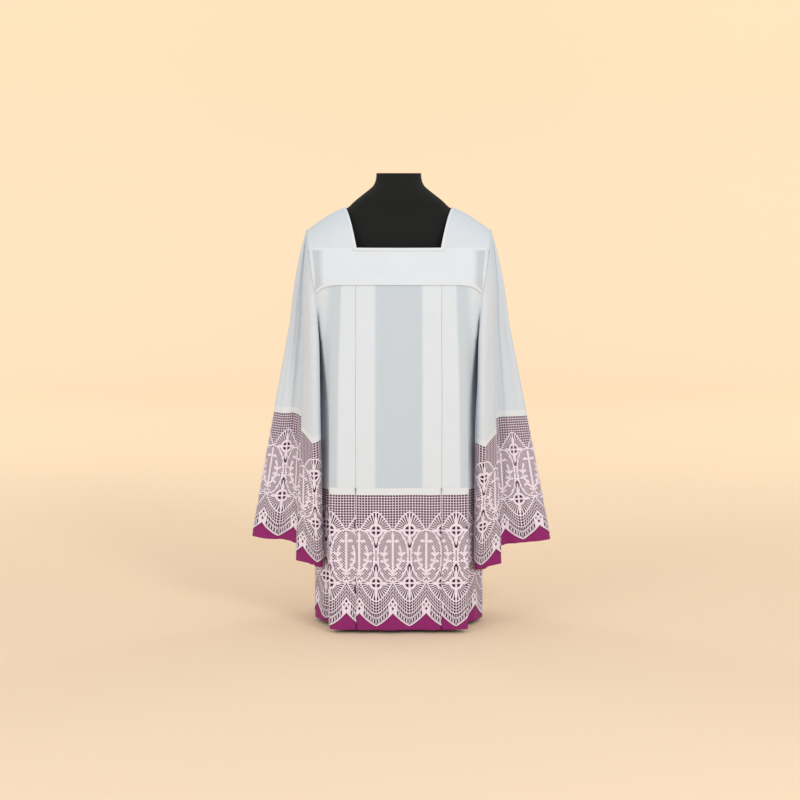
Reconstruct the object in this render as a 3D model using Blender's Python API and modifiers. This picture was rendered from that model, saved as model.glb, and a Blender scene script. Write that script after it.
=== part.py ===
"""A lace-edged surplice on a counter-top dress form, in metres, +Z up, the wearer facing -Y.

The origin is the middle of the stand's underside. The body is cut alike front and back: a square
yoke of four bands, pleated panels, bell sleeves, and a lace border over a purple band at the hem
and cuffs. Every cloth piece is an open surface worked out from the garment's sizes, and then given
its thickness.
"""

import math
from bisect import bisect_right
from collections import namedtuple
from functools import lru_cache

import bmesh
import bpy
import numpy as np
from mathutils import Vector
from mathutils.geometry import delaunay_2d_cdt

# Cloth
WALL = 0.0012
LINING_WALL = 0.0010
SEAM_GAP = 0.0004
LINING_INSET = (WALL + LINING_WALL) / 2 + SEAM_GAP

# Heights
YOKE_TOP_Z = 0.937
YOKE_SEAM_Z = 0.850
YOKE_LAP = 0.008
YOKE_DROOP = 0.024
UNDERARM_Z = 0.700
LACE_SEAM_Z = 0.3605
LINING_HEM_Z = 0.0095

# Plan of the body from the middle of the front to the side, as x and depth pairs for each height.
# Above the underarm the side point lies on the armhole, so the table leaves it out there.
Level = namedtuple(
    "Level",
    "z middle fold_x fold_depth corner_x corner_depth flank_x flank_depth hollow_x hollow_depth side_x",
)
BODY_LEVELS = (
    Level(0.937, 0.1050, 0.100, 0.0990, 0.150, 0.0900, 0.172, 0.0840, 0.192, 0.0780, 0.211),
    Level(0.900, 0.1155, 0.102, 0.1095, 0.152, 0.1010, 0.174, 0.0960, 0.191, 0.0935, 0.206),
    Level(0.855, 0.1275, 0.103, 0.1225, 0.153, 0.1140, 0.173, 0.1085, 0.188, 0.1040, 0.201),
    Level(0.780, 0.1310, 0.103, 0.1275, 0.156, 0.1195, 0.175, 0.1105, 0.188, 0.1005, 0.195),
    Level(0.730, 0.1330, 0.103, 0.1295, 0.158, 0.1210, 0.178, 0.1060, 0.189, 0.0870, 0.194),
    Level(0.700, 0.1340, 0.103, 0.1305, 0.160, 0.1220, 0.179, 0.0990, 0.190, 0.0600, 0.197),
    Level(0.600, 0.1370, 0.104, 0.1340, 0.163, 0.1250, 0.172, 0.0920, 0.182, 0.0520, 0.1975),
    Level(0.480, 0.1395, 0.104, 0.1370, 0.165, 0.1275, 0.165, 0.0900, 0.181, 0.0490, 0.201),
    Level(LACE_SEAM_Z, 0.1415, 0.104, 0.1395, 0.167, 0.1300, 0.160, 0.0900, 0.184, 0.0480, 0.206),
    Level(0.010, 0.1430, 0.104, 0.1410, 0.169, 0.1320, 0.155, 0.0900, 0.190, 0.0470, 0.212),
)
BACK_SHARE = 0.96
SIDE_CONTROL = 5
CURVE_STEPS = 12
DIRECTION_STEP = 0.002
CUT_Z = 0.190
PANEL_ROWS = (0.855, 0.795, 0.745, 0.715, 0.700, 0.600, 0.480, LACE_SEAM_Z + SEAM_GAP)
SIDE_SEAM_MARGIN = 0.0005

# Inverted pleats, one each side of the middle, front and back
MIDDLE_PLACES = (0.0, 0.35, 0.7)
PLEAT_CONTROL = 1
FLAT_PLACES = (1.5, 1.85, 2.1, 2.4, 3.0, 3.45, 4.0, 4.5, 5.0)
PLEAT_WIDTH = 0.0470
PLEAT_SLIT = 0.0011
FRONT_TURN = 0.0036
BACK_TURN = 0.0023
TURN_STEPS = 2

# Armhole
ARM_TOP_X = 0.222
ARM_LEAN = 0.025
ARM_BOW = 0.010
ARM_DEPTH = 0.100
ARM_MID_Z = 0.839
ARM_HALF_Z = 0.139

# Square neckline and shoulder line
NECK_FRONT_X = 0.101
NECK_TOP_X = 0.131
NECK_TOP_Z = 1.031
NECK_ARCH_Z = 0.870
SHOULDER_DROP_POWER = 1.35
BINDING_WIDTH = 0.007
YOKE_ROWS = (0.0, 0.12, 0.35, 0.65, 1.0)
YOKE_FLARE_SHARE = 0.5
STRAP_SHARES = (0.0, 0.2, 0.4, 0.6, 0.8, 1.0)
STRAP_STEP = 0.2
STRAP_TURNS = (-1.0, -0.8, -0.6, -0.4, -0.2, 0.0, 0.2, 0.4, 0.6, 0.8, 1.0)
NECK_EDGE_SHARES = (-0.66, -0.33, 0.0, 0.33, 0.66)
NECK_EDGE_STEP = 0.02

# Sleeves: reach and height of the cuff's outer edge, and how far the long fold overlaps
Sleeve = namedtuple("Sleeve", "name side reach cuff_z overlap")
SLEEVES = (
    Sleeve("left", -1, 0.3675, 0.2240, 0.098),
    Sleeve("right", 1, 0.3800, 0.2160, 0.098),
)
# Round a sleeve from its outer edge to the underarm: armhole angle, and the cuff's plan and drop
Key = namedtuple("Key", "share angle cuff_x cuff_depth drop")
# The long fold: place round the sleeve, where it lies once folded in shares of the overlap, its
# extra reach at a turn and its lift, both in metres
Fold = namedtuple("Fold", "share lies reach lift")
FOLD_MIDDLE = 0.54
HALFWAY = 2.0
FOLDS = (
    Fold(0.390, None, 0.0, -0.0046),
    Fold(0.451, 0.0, 0.0, -0.0046),
    Fold(0.512, 1.0, 0.0, -0.0046),
    Fold(0.515, 1.0, 0.0023, -0.0023),
    Fold(0.518, 1.0, 0.0, 0.0),
    Fold(0.565, 0.0, 0.0, 0.0),
    Fold(0.612, -1.0, 0.0, 0.0),
    Fold(0.615, -1.0, -0.0042, 0.0042),
    Fold(0.618, -1.0, 0.0, 0.0084),
    Fold(0.638, 0.0, 0.0, 0.0084),
    Fold(0.658, 1.0, 0.0, 0.0084),
    Fold(0.674, HALFWAY, 0.0, 0.0078),
    Fold(0.690, None, 0.0, 0.0062),
)
SIDE_COLUMNS = (0.0, 0.05, 0.15, 0.27)
UNDERARM_COLUMNS = (0.76, 0.86, 1.0)
BACK_OVERLAP = 0.6
ARMHOLE_OVERLAP = 0.30
ARMHOLE_LIFT = 0.5
FULL_LIFT_T = 0.12
PLAN_T = 0.30
CUFF_GAP = 0.0014
ARMHOLE_GAP = 0.0045
CUFF_INSET = LINING_INSET + 0.0005
SLEEVE_HEAD = 0.007
SLEEVE_HEAD_T = 0.3
SLEEVE_LACE = 0.3250
SLEEVE_ROWS = (0.0, 0.08, 0.17, 0.32, 0.52, 0.76, 1.0)
CUFF_LINING = 0.0090
CUFF_PHASE = 0.35
LINING_TOP = 0.001
LACE_END_GAP = 0.0005
# Where the long fold hides the cuff lace, from and to
FRONT_HIDDEN = (0.42, 0.626)
UNDERARM_HIDDEN = 0.67

# Lace
LACE_HEIGHT = 0.3415
NOTCH_DEPTH = 0.3080
LACE_REPEAT = 0.0807
LACE_PHASE = -0.0145
CROSS_V = 0.1040
CROSS_BAR = 0.0013
CROSS_RING = 0.0088
CROSS_BEND = 0.72
EYE_V = (0.1430, 0.1900)
EYE_HALF = (0.0034, 0.0058)
MARK_CLEAR = 0.0018
EDGE_MARKS = 4
MOST_REPEATS = 40
BENT = 6.0
NARROW = 0.010
MITRE = 1.3
SHORTER = 0.7
SCALLOP_ROUND = 0.45

# Dress form: height, half width and half depth of its sections
FORM_SECTIONS = (
    (1.1150, 0.0545, 0.0560),
    (1.0990, 0.0560, 0.0575),
    (1.0855, 0.0615, 0.0600),
    (1.0770, 0.0700, 0.0620),
    (1.0687, 0.0805, 0.0625),
    (1.0481, 0.1065, 0.0615),
    (1.0298, 0.1270, 0.0570),
    (1.0085, 0.1690, 0.0580),
    (0.9905, 0.1990, 0.0620),
    (0.9770, 0.2110, 0.0680),
    (0.9560, 0.2130, 0.0760),
    (0.9300, 0.2090, 0.0820),
    (0.8900, 0.1990, 0.0910),
    (0.8400, 0.1870, 0.0980),
    (0.7800, 0.1770, 0.1010),
    (0.7000, 0.1670, 0.1020),
    (0.6000, 0.1560, 0.1030),
    (0.5200, 0.1520, 0.1030),
    (0.4400, 0.1530, 0.1060),
    (0.3850, 0.1520, 0.1060),
    (0.3560, 0.1440, 0.1000),
    (0.3450, 0.1280, 0.0860),
)
FORM_POWER = 2.2
FORM_SIDES = 28
NECK_BASE_Z = 1.060
JOINT_GAP = 0.0003
POST_RADIUS = 0.014
COLLAR_RADIUS = 0.034
COLLAR_HEIGHT = 0.010
BASE_RADIUS = 0.112
BASE_THICKNESS = 0.012

COLOURS = {
    "cloth": (0.86, 0.88, 0.90),
    "lace": (0.92, 0.88, 0.92),
    "purple_cloth": (0.50, 0.06, 0.27),
    "form_cover": (0.020, 0.022, 0.024),
    "stand_metal": (0.030, 0.030, 0.032),
}


def spline(knots, rows, at):
    """A smooth curve through one row of values for each knot, read at one place."""
    i = min(max(bisect_right(knots, at) - 1, 0), len(knots) - 2)

    def slope(k):
        low, high = max(k - 1, 0), min(k + 1, len(knots) - 1)
        return (rows[high] - rows[low]) / (knots[high] - knots[low])

    span = knots[i + 1] - knots[i]
    s = (at - knots[i]) / span
    start, end = rows[i], rows[i + 1]
    return (
        (2 * s**3 - 3 * s**2 + 1) * start
        + (s**3 - 2 * s**2 + s) * span * slope(i)
        + (3 * s**2 - 2 * s**3) * end
        + (s**3 - s**2) * span * slope(i + 1)
    )


def ease(share):
    """0 to 1 with soft ends."""
    s = min(max(share, 0.0), 1.0)
    return s * s * (3 - 2 * s)


def armhole(angle):
    """x, depth and height of the armhole: angle 0 is the shoulder tip and 180 the underarm."""
    a = math.radians(angle)
    lean = ARM_LEAN * (1 - math.cos(a)) / 2
    x = ARM_TOP_X - lean - ARM_BOW * math.sin(a)
    return np.array((x, ARM_DEPTH * math.sin(a), ARM_MID_Z + ARM_HALF_Z * math.cos(a)))


LEVEL_KNOTS = [level.z for level in reversed(BODY_LEVELS)]
LEVEL_ROWS = [np.array(level[1:]) for level in reversed(BODY_LEVELS)]


@lru_cache(maxsize=None)
def body_curve(z):
    """The body's plan at a height: points from the middle to the side, and where the controls lie."""
    if z < LACE_SEAM_Z:
        hem, seam = LEVEL_ROWS[0], LEVEL_ROWS[1]
        row = hem + (seam - hem) * (z - LEVEL_KNOTS[0]) / (LEVEL_KNOTS[1] - LEVEL_KNOTS[0])
    else:
        row = spline(LEVEL_KNOTS, LEVEL_ROWS, z)
    controls = [(0.0, row[0]), *zip(row[1:9:2], row[2:9:2])]
    if z >= UNDERARM_Z:
        x, depth, _ = armhole(math.degrees(math.acos((z - ARM_MID_Z) / ARM_HALF_Z)))
        controls.append((x, depth))
    else:
        controls.append((row[9], 0.0))
    controls = np.array(controls)
    first = controls[1] * (-1, 1)
    last = controls[4] * (1, -1) if z < UNDERARM_Z else 2 * controls[5] - controls[4]
    padded = np.vstack([first, controls, last])
    points = []
    for i in range(SIDE_CONTROL):
        a, b, c, d = padded[i : i + 4]
        for s in np.arange(CURVE_STEPS) / CURVE_STEPS:
            points.append(
                b + 0.5 * s * (c - a + s * (2 * a - 5 * b + 4 * c - d + s * (3 * (b - c) + d - a)))
            )
    points.append(controls[-1])
    points = np.array(points)
    arc = np.concatenate([[0], np.cumsum(np.linalg.norm(np.diff(points, axis=0), axis=1))])
    return points, arc, arc[::CURVE_STEPS]


def body_plan(control, along, inset, z):
    """x and depth at a place along the body's plan, moved inwards by the inset."""
    points, arc, marks = body_curve(round(z, 6))
    s = np.interp(control, range(SIDE_CONTROL + 1), marks) + along
    s = min(max(s, 0.0), arc[-1])
    here = np.array([np.interp(s, arc, points[:, k]) for k in (0, 1)])
    low, high = max(s - DIRECTION_STEP, 0.0), min(s + DIRECTION_STEP, arc[-1])
    way = np.array([np.interp(high, arc, points[:, k]) - np.interp(low, arc, points[:, k]) for k in (0, 1)])
    way /= np.linalg.norm(way)
    return here - inset * np.array((-way[1], way[0]))


def pleat_places():
    """Control, distance and depth along a half panel: flat, the inverted pleat, flat again."""
    places = [(c, 0.0, 0.0) for c in MIDDLE_PLACES]

    def turn(centre, radius, depth, way, deeper):
        for k in range(TURN_STEPS + 1):
            a = math.pi * k / TURN_STEPS
            out = radius * math.sin(a) * way
            places.append((PLEAT_CONTROL, centre + out, depth + deeper * radius * (1 - math.cos(a))))

    near, far = PLEAT_SLIT + FRONT_TURN, PLEAT_WIDTH - BACK_TURN
    middle, deepest = 2 * FRONT_TURN, 2 * (FRONT_TURN + BACK_TURN)
    turn(-near, FRONT_TURN, 0.0, 1, 1)
    turn(-far, BACK_TURN, middle, -1, 1)
    places.append((PLEAT_CONTROL, 0.0, deepest))
    turn(far, BACK_TURN, deepest, 1, -1)
    turn(near, FRONT_TURN, middle, -1, -1)
    places += [(c, 0.0, 0.0) for c in FLAT_PLACES]
    return np.array(places)


PLACES = pleat_places()


def path_lengths(z):
    """Distance along the pleated panel, from its middle, of each of its places at a height."""
    points = np.array([body_plan(*place, z) for place in PLACES])
    return np.concatenate([[0], np.cumsum(np.linalg.norm(np.diff(points, axis=0), axis=1))])


PATH = path_lengths(CUT_Z)
HALF_PANEL = PATH[-1]


def body_point(back, u, z):
    """A point of the pleated body, u metres along the cloth from the middle of its front or back."""
    place = [np.interp(abs(u), PATH, PLACES[:, k]) for k in range(3)]
    x, depth = body_plan(*place, z)
    return Vector((-x if u < 0 else x, depth * BACK_SHARE if back else -depth, z))


def yoke_hem_z(control):
    """Height of the yoke's lower edge, which droops towards the armholes."""
    return YOKE_SEAM_Z - YOKE_DROOP * (abs(control) / SIDE_CONTROL) ** 3


def material(name):
    """The plain material of one finish, made once."""
    found = bpy.data.materials.get(name)
    if found:
        return found
    made = bpy.data.materials.new(name)
    made.use_nodes = True
    shader = made.node_tree.nodes["Principled BSDF"]
    shader.inputs["Base Color"].default_value = (*COLOURS[name], 1.0)
    shader.inputs["Roughness"].default_value = 0.4 if name == "stand_metal" else 0.85
    shader.inputs["Metallic"].default_value = 0.6 if name == "stand_metal" else 0.0
    return made


def add_object(name, mesh, finish, thickness=0.0):
    """One named piece, given a wall of its own where it is an open cloth surface."""
    mesh.materials.append(material(finish))
    made = bpy.data.objects.new(name, mesh)
    parts.objects.link(made)
    if thickness:
        wall = made.modifiers.new("Wall", "SOLIDIFY")
        wall.thickness = thickness
        wall.offset = 0.0
    return made


def grid_wall(name, columns, rows, point, thickness, finish):
    """A cloth wall through point(column, row)."""
    across = len(columns)
    verts = [point(c, r) for r in rows for c in columns]
    faces = []
    for j in range(len(rows) - 1):
        for i in range(across - 1):
            k = j * across + i
            faces.append((k, k + 1, k + across + 1, k + across))
    mesh = bpy.data.meshes.new(name)
    mesh.from_pydata(verts, [], faces)
    return add_object(name, mesh, finish, thickness)


def cut_wall(name, outline, gaps, cloth, thickness, finish):
    """A flat cut with gaps, triangulated along the cloth's folds and then carried to its place."""
    verts, edges, faces = [], [], []

    def ring(corners):
        first = len(verts)
        verts.extend(Vector(c) for c in corners)
        faces.append(list(range(first, first + len(corners))))

    ring(outline)
    for gap in gaps:
        ring(gap)
    for line in cloth.folds():
        first = len(verts)
        verts.extend(Vector(c) for c in line)
        edges.extend((first + k, first + k + 1) for k in range(len(line) - 1))
    found, _, tiles, _, _, inside = delaunay_2d_cdt(verts, edges, faces, 1, 1e-6)
    kept = [tile for tile, inputs in zip(tiles, inside) if inputs == [0]]
    mesh = bpy.data.meshes.new(name)
    mesh.from_pydata([cloth.at(*v) for v in found], [], kept)
    shape = bmesh.new()
    shape.from_mesh(mesh)
    loose = [v for v in shape.verts if not v.link_faces]
    bmesh.ops.delete(shape, geom=loose, context="VERTS")
    shape.to_mesh(mesh)
    shape.free()
    return add_object(name, mesh, finish, thickness)


class Cloth:
    """A folded cloth as flat triangles: columns across, rows down, each cell cut corner to corner."""

    def __init__(self, columns, rows, point, like=None):
        self.columns = list(columns)
        self.rows = list(rows)
        self.points = [[point(i, v) for i in range(len(self.columns))] for v in self.rows]
        pairs = zip(self.points, self.points[1:])
        self.rising = like.rising if like else [self.cuts(upper, lower) for upper, lower in pairs]

    def cuts(self, upper, lower):
        """For each cell of a row, whether it is cut up to the right: the shorter way if one is much
        shorter, or else from the upper corner that lies farther out."""
        found = []
        for i in range(len(upper) - 1):
            rising = (upper[i + 1] - lower[i]).length
            falling = (lower[i + 1] - upper[i]).length
            outer_second = abs(upper[i + 1].x) > abs(upper[i].x)
            found.append(rising < SHORTER * falling or (outer_second and falling > SHORTER * rising))
        return found

    def inset(self, distance, closed=False):
        """Moves every point off the cloth's side, so that the new cloth lies evenly beside it."""
        last = len(self.columns) - 1
        moved = []
        for j, row in enumerate(self.points):
            upper, lower = self.points[max(j - 1, 0)], self.points[min(j + 1, len(self.rows) - 1)]
            new_row = []
            for i, here in enumerate(row):
                before = row[last - 1] if closed and i == 0 else row[max(i - 1, 0)]
                after = row[1] if closed and i == last else row[min(i + 1, last)]
                down = lower[i] - upper[i]
                spans = [(a, b) for a, b in ((before, here), (here, after)) if a != b]
                sides = [(b - a).cross(down).normalized() for a, b in spans]
                middle = sum(sides, Vector())
                if not closed and i in (0, last):
                    middle.y = 0.0
                middle.normalize()
                even = min(1 / max(middle.dot(sides[0]), 0.1), MITRE)
                new_row.append(here + middle * distance * even)
            moved.append(new_row)
        self.points = moved
        return self

    def cell(self, knots, at):
        """The interval that holds a place, and how far along it the place is."""
        i = min(max(bisect_right(knots, at) - 1, 0), len(knots) - 2)
        return i, (at - knots[i]) / (knots[i + 1] - knots[i])

    def at(self, u, v):
        """The place on the folded cloth of a point on its flat cut."""
        i, across = self.cell(self.columns, u)
        j, down = self.cell(self.rows, v)
        a, b = self.points[j][i], self.points[j][i + 1]
        d, c = self.points[j + 1][i], self.points[j + 1][i + 1]
        if self.rising[j][i]:
            if across + down < 1:
                return a + (b - a) * across + (d - a) * down
            return c + (d - c) * (1 - across) + (b - c) * (1 - down)
        if across > down:
            return a + (b - a) * across + (c - b) * down
        return a + (d - a) * down + (c - d) * across

    def folds(self):
        """The lines that the flat cut bends along."""
        u, v = self.columns, self.rows
        lines = [[(c, r) for r in v] for c in u]
        lines += [[(c, r) for c in u] for r in v[1:-1]]
        wide = [i for i in range(len(u) - 1) if u[i + 1] - u[i] > NARROW]
        for j in range(len(v) - 1):
            for i in wide:
                ends = (v[j + 1], v[j]) if self.rising[j][i] else (v[j], v[j + 1])
                lines.append([(u[i], ends[0]), (u[i + 1], ends[1])])
        return lines

    def bends(self, least):
        """Columns where the cloth turns by more than the least angle, in degrees."""
        found = []
        for i in range(1, len(self.columns) - 1):
            a, b, c = (self.points[1][k] for k in (i - 1, i, i + 1))
            if math.degrees((b - a).angle(c - b)) > least:
                found.append(self.columns[i])
        return found

    def wall(self, name, thickness, finish, closed=False):
        """The whole cloth as a solid wall, closed round its columns for a tube."""
        rows, across = len(self.rows), len(self.columns)
        width = across - 1 if closed else across
        verts = [p for row in self.points for p in row[:width]]
        faces = []
        for j in range(rows - 1):
            for i in range(across - 1):
                k = (i + 1) % width
                a, b = j * width + i, j * width + k
                c, d = (j + 1) * width + k, (j + 1) * width + i
                faces += [(a, b, d), (b, c, d)] if self.rising[j][i] else [(a, b, c), (a, c, d)]
        mesh = bpy.data.meshes.new(name)
        mesh.from_pydata(verts, [], faces)
        return add_object(name, mesh, finish, thickness)


def scallop(phase):
    """Depth of the lace's edge: a notch at phase 0 and a point at phase 0.5."""
    x = abs((phase + 0.5) % 1.0 - 0.5) * 2
    way = x + SCALLOP_ROUND * (math.sin(math.pi * x / 2) - x)
    return NOTCH_DEPTH + (LACE_HEIGHT - NOTCH_DEPTH) * way


def lace_gaps(centre):
    """The largest gaps of one repeat, round the cross at centre: its quarters and two eyes."""
    gaps = []
    inner, outer = CROSS_BAR, CROSS_RING
    bend = outer * CROSS_BEND
    for a, b in ((1, 1), (-1, 1), (-1, -1), (1, -1)):
        corners = [(inner, inner), (outer, inner), (bend, bend), (inner, outer)]
        gaps.append([(centre + a * x, CROSS_V + b * v) for x, v in corners[:: a * b]])
    for v in EYE_V:
        wide, tall = EYE_HALF
        gaps.append([(centre, v - tall), (centre + wide, v), (centre, v + tall), (centre - wide, v)])
    return gaps


def lace_wall(name, cloth, start, end, repeat, phase, hidden, height):
    """One lace border from u start to end, v down its height, with gaps where the lace shows."""
    scale = height / LACE_HEIGHT

    def edge(u):
        return scallop((u - phase) / repeat) * scale

    folds = [start, end, *cloth.columns]
    counted = range(-MOST_REPEATS, MOST_REPEATS)
    marks = [phase + repeat * (k + part / EDGE_MARKS) for k in counted for part in range(EDGE_MARKS)]
    marks = [u for u in marks if start < u < end and min(abs(u - c) for c in folds) > MARK_CLEAR]
    top = sorted({start, end, *(c for c in cloth.columns if start < c < end)})
    outline = [(u, 0.0) for u in top]
    outline += [(u, edge(u)) for u in sorted({start, end, *marks}, reverse=True)]
    bends = cloth.bends(BENT)
    gaps = []
    for k in counted:
        for gap in lace_gaps(phase + repeat * (k + 0.5)):
            low = min(u for u, _ in gap) - MARK_CLEAR
            high = max(u for u, _ in gap) + MARK_CLEAR
            folded = any(low < b and a < high for a, b in hidden)
            if low > start and high < end and not folded and not any(low < c < high for c in bends):
                gaps.append([(u, v * scale) for u, v in gap])
    cut_wall(name, outline, gaps, cloth, WALL, "lace")
    return len(gaps)


def build_form():
    """The dress form: one smooth loft from the neck to the rounded hip end."""
    rings = []
    for z, half_width, half_depth in FORM_SECTIONS:
        power = 2.0 if z > NECK_BASE_Z else FORM_POWER
        ring = []
        for k in range(FORM_SIDES):
            a = 2 * math.pi * k / FORM_SIDES
            c, s = math.cos(a), math.sin(a)
            x = half_width * math.copysign(abs(c) ** (2 / power), c)
            y = half_depth * math.copysign(abs(s) ** (2 / power), s)
            ring.append((x, y, z))
        rings.append(ring)
    shape = bmesh.new()
    made = [[shape.verts.new(p) for p in ring] for ring in rings]
    for upper, lower in zip(made, made[1:]):
        for k in range(FORM_SIDES):
            n = (k + 1) % FORM_SIDES
            shape.faces.new((upper[k], lower[k], lower[n], upper[n]))
    shape.faces.new(made[0])
    shape.faces.new(list(reversed(made[-1])))
    bmesh.ops.recalc_face_normals(shape, faces=shape.faces)
    mesh = bpy.data.meshes.new("form_torso")
    shape.to_mesh(mesh)
    shape.free()
    mesh.shade_smooth()
    add_object("form_torso", mesh, "form_cover")


def turned(name, radius, low, high, sides):
    """A plain upright disc or rod between two heights."""
    shape = bmesh.new()
    bmesh.ops.create_cone(
        shape, cap_ends=True, segments=sides, radius1=radius, radius2=radius, depth=high - low
    )
    bmesh.ops.translate(shape, verts=shape.verts, vec=(0, 0, (low + high) / 2))
    mesh = bpy.data.meshes.new(name)
    shape.to_mesh(mesh)
    shape.free()
    add_object(name, mesh, "stand_metal")


def build_stand():
    """The base plate, the post and the collar under the form."""
    form_base_z = FORM_SECTIONS[-1][0]
    collar_top = form_base_z - JOINT_GAP
    collar_low = collar_top - COLLAR_HEIGHT
    turned("stand_base", BASE_RADIUS, 0.0, BASE_THICKNESS, 40)
    turned("stand_collar", COLLAR_RADIUS, collar_low, collar_top, 24)
    turned("stand_post", POST_RADIUS, BASE_THICKNESS + JOINT_GAP, collar_low - JOINT_GAP, 20)


def strap_point(side, share, angle_share):
    """A point of a shoulder band: share 0 the neckline, 1 the armhole; angle_share -1 front, 1 back."""
    ridge_x = NECK_TOP_X + (ARM_TOP_X - NECK_TOP_X) * share
    arm_top_z = ARM_MID_Z + ARM_HALF_Z
    ridge_z = NECK_TOP_Z - (NECK_TOP_Z - arm_top_z) * share**SHOULDER_DROP_POWER
    points, arc, _ = body_curve(round(YOKE_TOP_Z, 6))
    foot_x = NECK_FRONT_X + (points[-1, 0] - NECK_FRONT_X) * share
    foot_depth = np.interp(foot_x, points[:, 0], points[:, 1])
    centre_z = NECK_ARCH_Z + (ARM_MID_Z - NECK_ARCH_Z) * share
    rise = ridge_z - centre_z
    foot_angle = math.acos((YOKE_TOP_Z - centre_z) / rise)
    angle = foot_angle * abs(angle_share)
    depth = foot_depth / math.sin(foot_angle) * math.sin(angle)

    def lean(a):
        return ARM_LEAN * (1 - math.cos(a)) / 2 + ARM_BOW * math.sin(a)

    x = ridge_x - (ridge_x - foot_x) * lean(angle) / lean(foot_angle)
    z = centre_z + rise * math.cos(angle)
    y = depth * BACK_SHARE if angle_share > 0 else -depth
    return Vector((side * x, y, z))


def build_yoke():
    """Front and back bands, and the two shoulder bands between the neckline and the armholes."""
    half = (*MIDDLE_PLACES, PLEAT_CONTROL, *FLAT_PLACES)
    controls = [-c for c in reversed(half[1:])] + list(half)
    out = -(WALL + 2 * SEAM_GAP)

    def band(back, control, share):
        z = yoke_hem_z(control) + (YOKE_TOP_Z - SEAM_GAP - yoke_hem_z(control)) * share
        x, depth = body_plan(abs(control), 0.0, out * (1 - ease(share / YOKE_FLARE_SHARE)), z)
        side = -1 if control < 0 else 1
        return Vector((side * x, depth * BACK_SHARE if back else -depth, z))

    for back, name in enumerate(("front", "back")):
        grid_wall(f"yoke_{name}", controls, YOKE_ROWS, lambda c, r: band(back, c, r), WALL, "cloth")
    for name, side in (("left", -1), ("right", 1)):
        strap = f"yoke_shoulder_{name}"
        grid_wall(
            strap, STRAP_SHARES, STRAP_TURNS, lambda c, r: strap_point(side, c, r), WALL, "cloth"
        )


def neckline():
    """The neckline's corner and edge points, each with its outward normal and the way off the opening."""
    stops = []
    for turn in STRAP_TURNS:
        here = strap_point(1, 0.0, turn)
        away = (strap_point(1, STRAP_SHARES[1], turn) - here).normalized()
        before = strap_point(1, 0.0, max(turn - STRAP_STEP, -1))
        after = strap_point(1, 0.0, min(turn + STRAP_STEP, 1))
        stops.append([here, away.cross(after - before).normalized(), away])
    for k in (0, -1):
        here, normal, away = stops[k]
        down = Vector((0, 0, -1))
        down = (down - normal * down.dot(normal)).normalized()
        stops[k] = [here, normal, away + down]
    left = [
        [Vector((-p.x, p.y, p.z)), Vector((-n.x, n.y, n.z)), Vector((-a.x, a.y, a.z))]
        for p, n, a in reversed(stops)
    ]

    upper, _, _ = body_curve(YOKE_TOP_Z)
    lower, _, _ = body_curve(round(YOKE_TOP_Z - NECK_EDGE_STEP, 6))

    def across(y_sign, xs):
        middle = []
        for x in xs:
            depth = np.interp(abs(x), upper[:, 0], upper[:, 1])
            low_depth = np.interp(abs(x), lower[:, 0], lower[:, 1])
            share = BACK_SHARE if y_sign > 0 else 1.0
            flare = (low_depth - depth) * share
            here = Vector((x, y_sign * depth * share, YOKE_TOP_Z))
            down = Vector((0, y_sign * flare, -NECK_EDGE_STEP)).normalized()
            normal = Vector((0, y_sign * NECK_EDGE_STEP, flare)).normalized()
            middle.append([here, normal, down])
        return middle

    xs = [NECK_FRONT_X * k for k in NECK_EDGE_SHARES]
    return across(-1, xs) + stops + across(1, xs[::-1]) + left


def build_binding():
    """The folded edge round the neckline, lying on the four bands."""
    stops = neckline()
    low, high = WALL / 2 + SEAM_GAP, WALL / 2 + SEAM_GAP + LINING_WALL
    shape = bmesh.new()
    rings = []
    for here, normal, away in stops:
        corners = (
            here + normal * low,
            here + away * BINDING_WIDTH + normal * low,
            here + away * BINDING_WIDTH + normal * high,
            here + normal * high,
        )
        rings.append([shape.verts.new(c) for c in corners])
    for k, ring in enumerate(rings):
        after = rings[(k + 1) % len(rings)]
        for i in range(4):
            n = (i + 1) % 4
            shape.faces.new((ring[i], ring[n], after[n], after[i]))
    bmesh.ops.recalc_face_normals(shape, faces=shape.faces)
    mesh = bpy.data.meshes.new("neck_binding")
    shape.to_mesh(mesh)
    shape.free()
    add_object("neck_binding", mesh, "cloth")


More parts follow.
